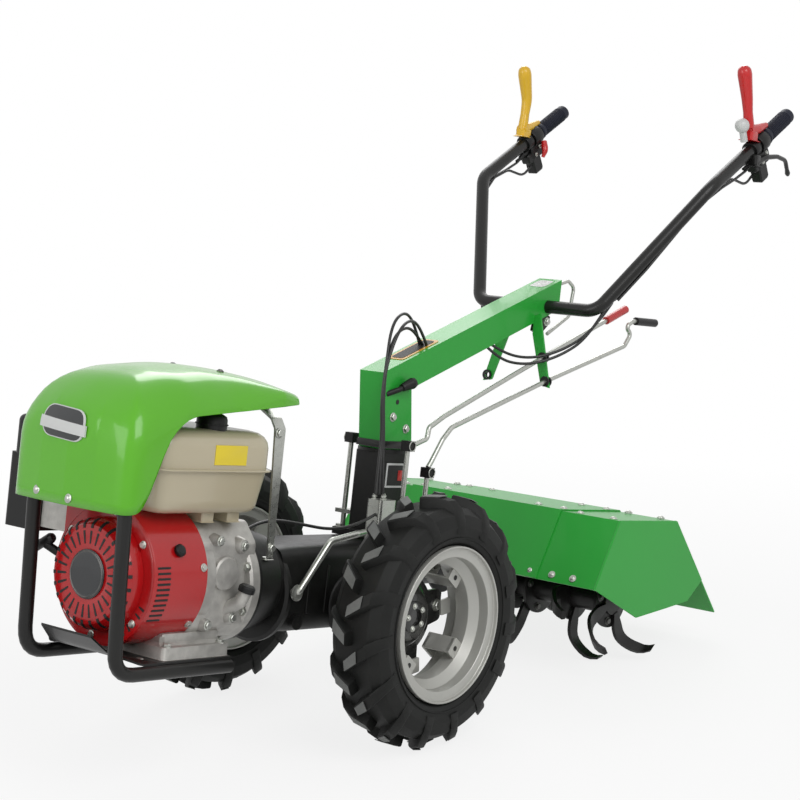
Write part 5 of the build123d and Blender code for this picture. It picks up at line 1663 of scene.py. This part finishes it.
@dataclass
class Studio:
    """The camera at the photograph's place, the lamps and the pale floor."""

    stance: Stance
    azimuth: float = 129.24
    elevation: float = 9.63
    lens: float = 86.94
    eye: Point = (2.6844, 2.3957, 1.2254)

    def build(self) -> None:
        """Makes the camera, the lights, the world and the floor."""
        scene = bpy.context.scene
        scene.view_settings.view_transform = "Standard"
        self._camera(scene)
        self._world(scene)
        self._floor()
        self._lamp("key", (1.4, 3.4, 3.4), 2.6, 84.0)
        self._lamp("fill", (4.2, -0.6, 2.2), 2.4, 44.0)
        self._lamp("back", (-3.0, -2.2, 3.4), 2.6, 62.0)
        LOG.info("studio is ready")

    def _camera(self, scene: bpy.types.Scene) -> None:
        """Places the camera as the photograph's was."""
        data = bpy.data.cameras.new("camera")
        data.lens = self.lens
        data.sensor_width = 36.0
        data.clip_end = 60.0
        camera = bpy.data.objects.new("camera", data)
        bpy.context.collection.objects.link(camera)
        turn, rise = math.radians(self.azimuth), math.radians(self.elevation)
        back = Vector((math.sin(turn) * math.cos(rise), -math.cos(turn) * math.cos(rise), math.sin(rise)))
        camera.rotation_mode = "QUATERNION"
        camera.rotation_quaternion = (-back).to_track_quat("-Z", "Y")
        camera.location = Vector(self.eye) + Vector((self.stance.axle.x, 0.0, 0.0))
        scene.camera = camera

    def _world(self, scene: bpy.types.Scene) -> None:
        """A white surround that is dimmer as a light than as a background."""
        world = bpy.data.worlds.new("surround")
        world.use_nodes = True
        scene.world = world
        graph = Graph(world.node_tree)
        world.node_tree.nodes.clear()
        path = graph.node("ShaderNodeLightPath").outputs
        seen = Tone(graph, path["Is Camera Ray"]) + Tone(graph, path["Is Transmission Ray"])
        soft = {"Color": (1.0, 1.0, 1.0, 1.0), "Strength": 0.40}
        lit = graph.node("ShaderNodeBackground", None, soft)
        shown = graph.node("ShaderNodeBackground", None, {"Color": (1.0, 1.0, 1.0, 1.0), "Strength": 1.0})
        mirrored = Tone(graph, path["Is Glossy Ray"]) * 0.9
        values = {0: seen + mirrored, 1: lit.outputs[0], 2: shown.outputs[0]}
        mixed = graph.node("ShaderNodeMixShader", None, values)
        graph.node("ShaderNodeOutputWorld", None, {"Surface": mixed.outputs[0]})

    def _floor(self) -> None:
        """A wide pale floor that keeps the machine's shadow."""
        mesh = bpy.data.meshes.new("studio_floor")
        size = 14.0
        corners = [(x, y, 0) for x, y in oblong((-size, size), (-size, size))]
        mesh.from_pydata(corners, [], [(0, 1, 2, 3)])
        floor = bpy.data.objects.new("studio_floor", mesh)
        bpy.context.collection.objects.link(floor)
        made = bpy.data.materials.new("studio floor")
        made.use_nodes = True
        graph = Graph(made.node_tree)
        made.node_tree.nodes.clear()
        path = graph.node("ShaderNodeLightPath").outputs
        near = graph.node("ShaderNodeTexGradient", {"gradient_type": "SPHERICAL"},
            {"Vector": self._spread(graph)})
        shade = Tone(graph, near.outputs["Fac"]).ramp((0.0, 0.0), (0.6, 0.17))
        seen = Tone(graph, path["Is Camera Ray"]) * (1.0 - shade) + Tone(graph, path["Is Glossy Ray"]) * 0.5
        matt = graph.node("ShaderNodeBsdfDiffuse", None, {"Color": (0.86, 0.86, 0.86, 1.0)})
        glow = graph.node("ShaderNodeEmission", None, {"Color": (1.0, 1.0, 1.0, 1.0), "Strength": 1.0})
        mixed = graph.node("ShaderNodeMixShader", None, {0: seen, 1: matt.outputs[0], 2: glow.outputs[0]})
        graph.node("ShaderNodeOutputMaterial", None, {"Surface": mixed.outputs[0]})
        mesh.materials.append(made)

    @staticmethod
    def _spread(graph: Graph) -> bpy.types.NodeSocket:
        """The floor's own coordinates, shrunk so that a ball of a few metres fits a unit."""
        place = graph.node("ShaderNodeTexCoord").outputs["Object"]
        return graph.node("ShaderNodeMapping", None, {0: place, "Scale": (0.42, 0.42, 0.42)}).outputs[0]

    def _lamp(self, name: str, place: Point, size: float, power: float) -> None:
        """One soft square lamp that faces the machine.

        Args:
            name: The lamp's name.
            place: Where it hangs.
            size: Its side in metres.
            power: Its power in watts.
        """
        data = bpy.data.lights.new(name, "AREA")
        data.size = size
        data.energy = power
        lamp = bpy.data.objects.new(name, data)
        bpy.context.collection.objects.link(lamp)
        lamp.location = place
        aim = Vector((0.1, 0.0, 0.45)) - Vector(place)
        lamp.rotation_euler = aim.to_track_quat("-Z", "Y").to_euler()


def dress_nodes() -> None:
    """Gives every carried-over solid its material."""
    for finish, names in NODE_FINISHES.items():
        for name in names:
            shown = frame["nodes"][name]
            shown.data.materials.clear()
            shown.data.materials.append(finish.material())
            LOG.info("dressed %s as %s", name, finish.name)


def main() -> None:
    """Builds the studio and every sub-assembly."""
    logging.basicConfig(level=logging.INFO, format="%(message)s")
    stance = Stance()
    Studio(stance).build()
    dress_nodes()
    shop = Workshop(stance)
    for side in (1, -1):
        Wheel(shop, side).build()
    for part in (Cables, Hood, Tank, Guard, Engine, Column, Bars, GearCasing, Tiller):
        part(shop).build()


if __name__ == "__main__":
    main()
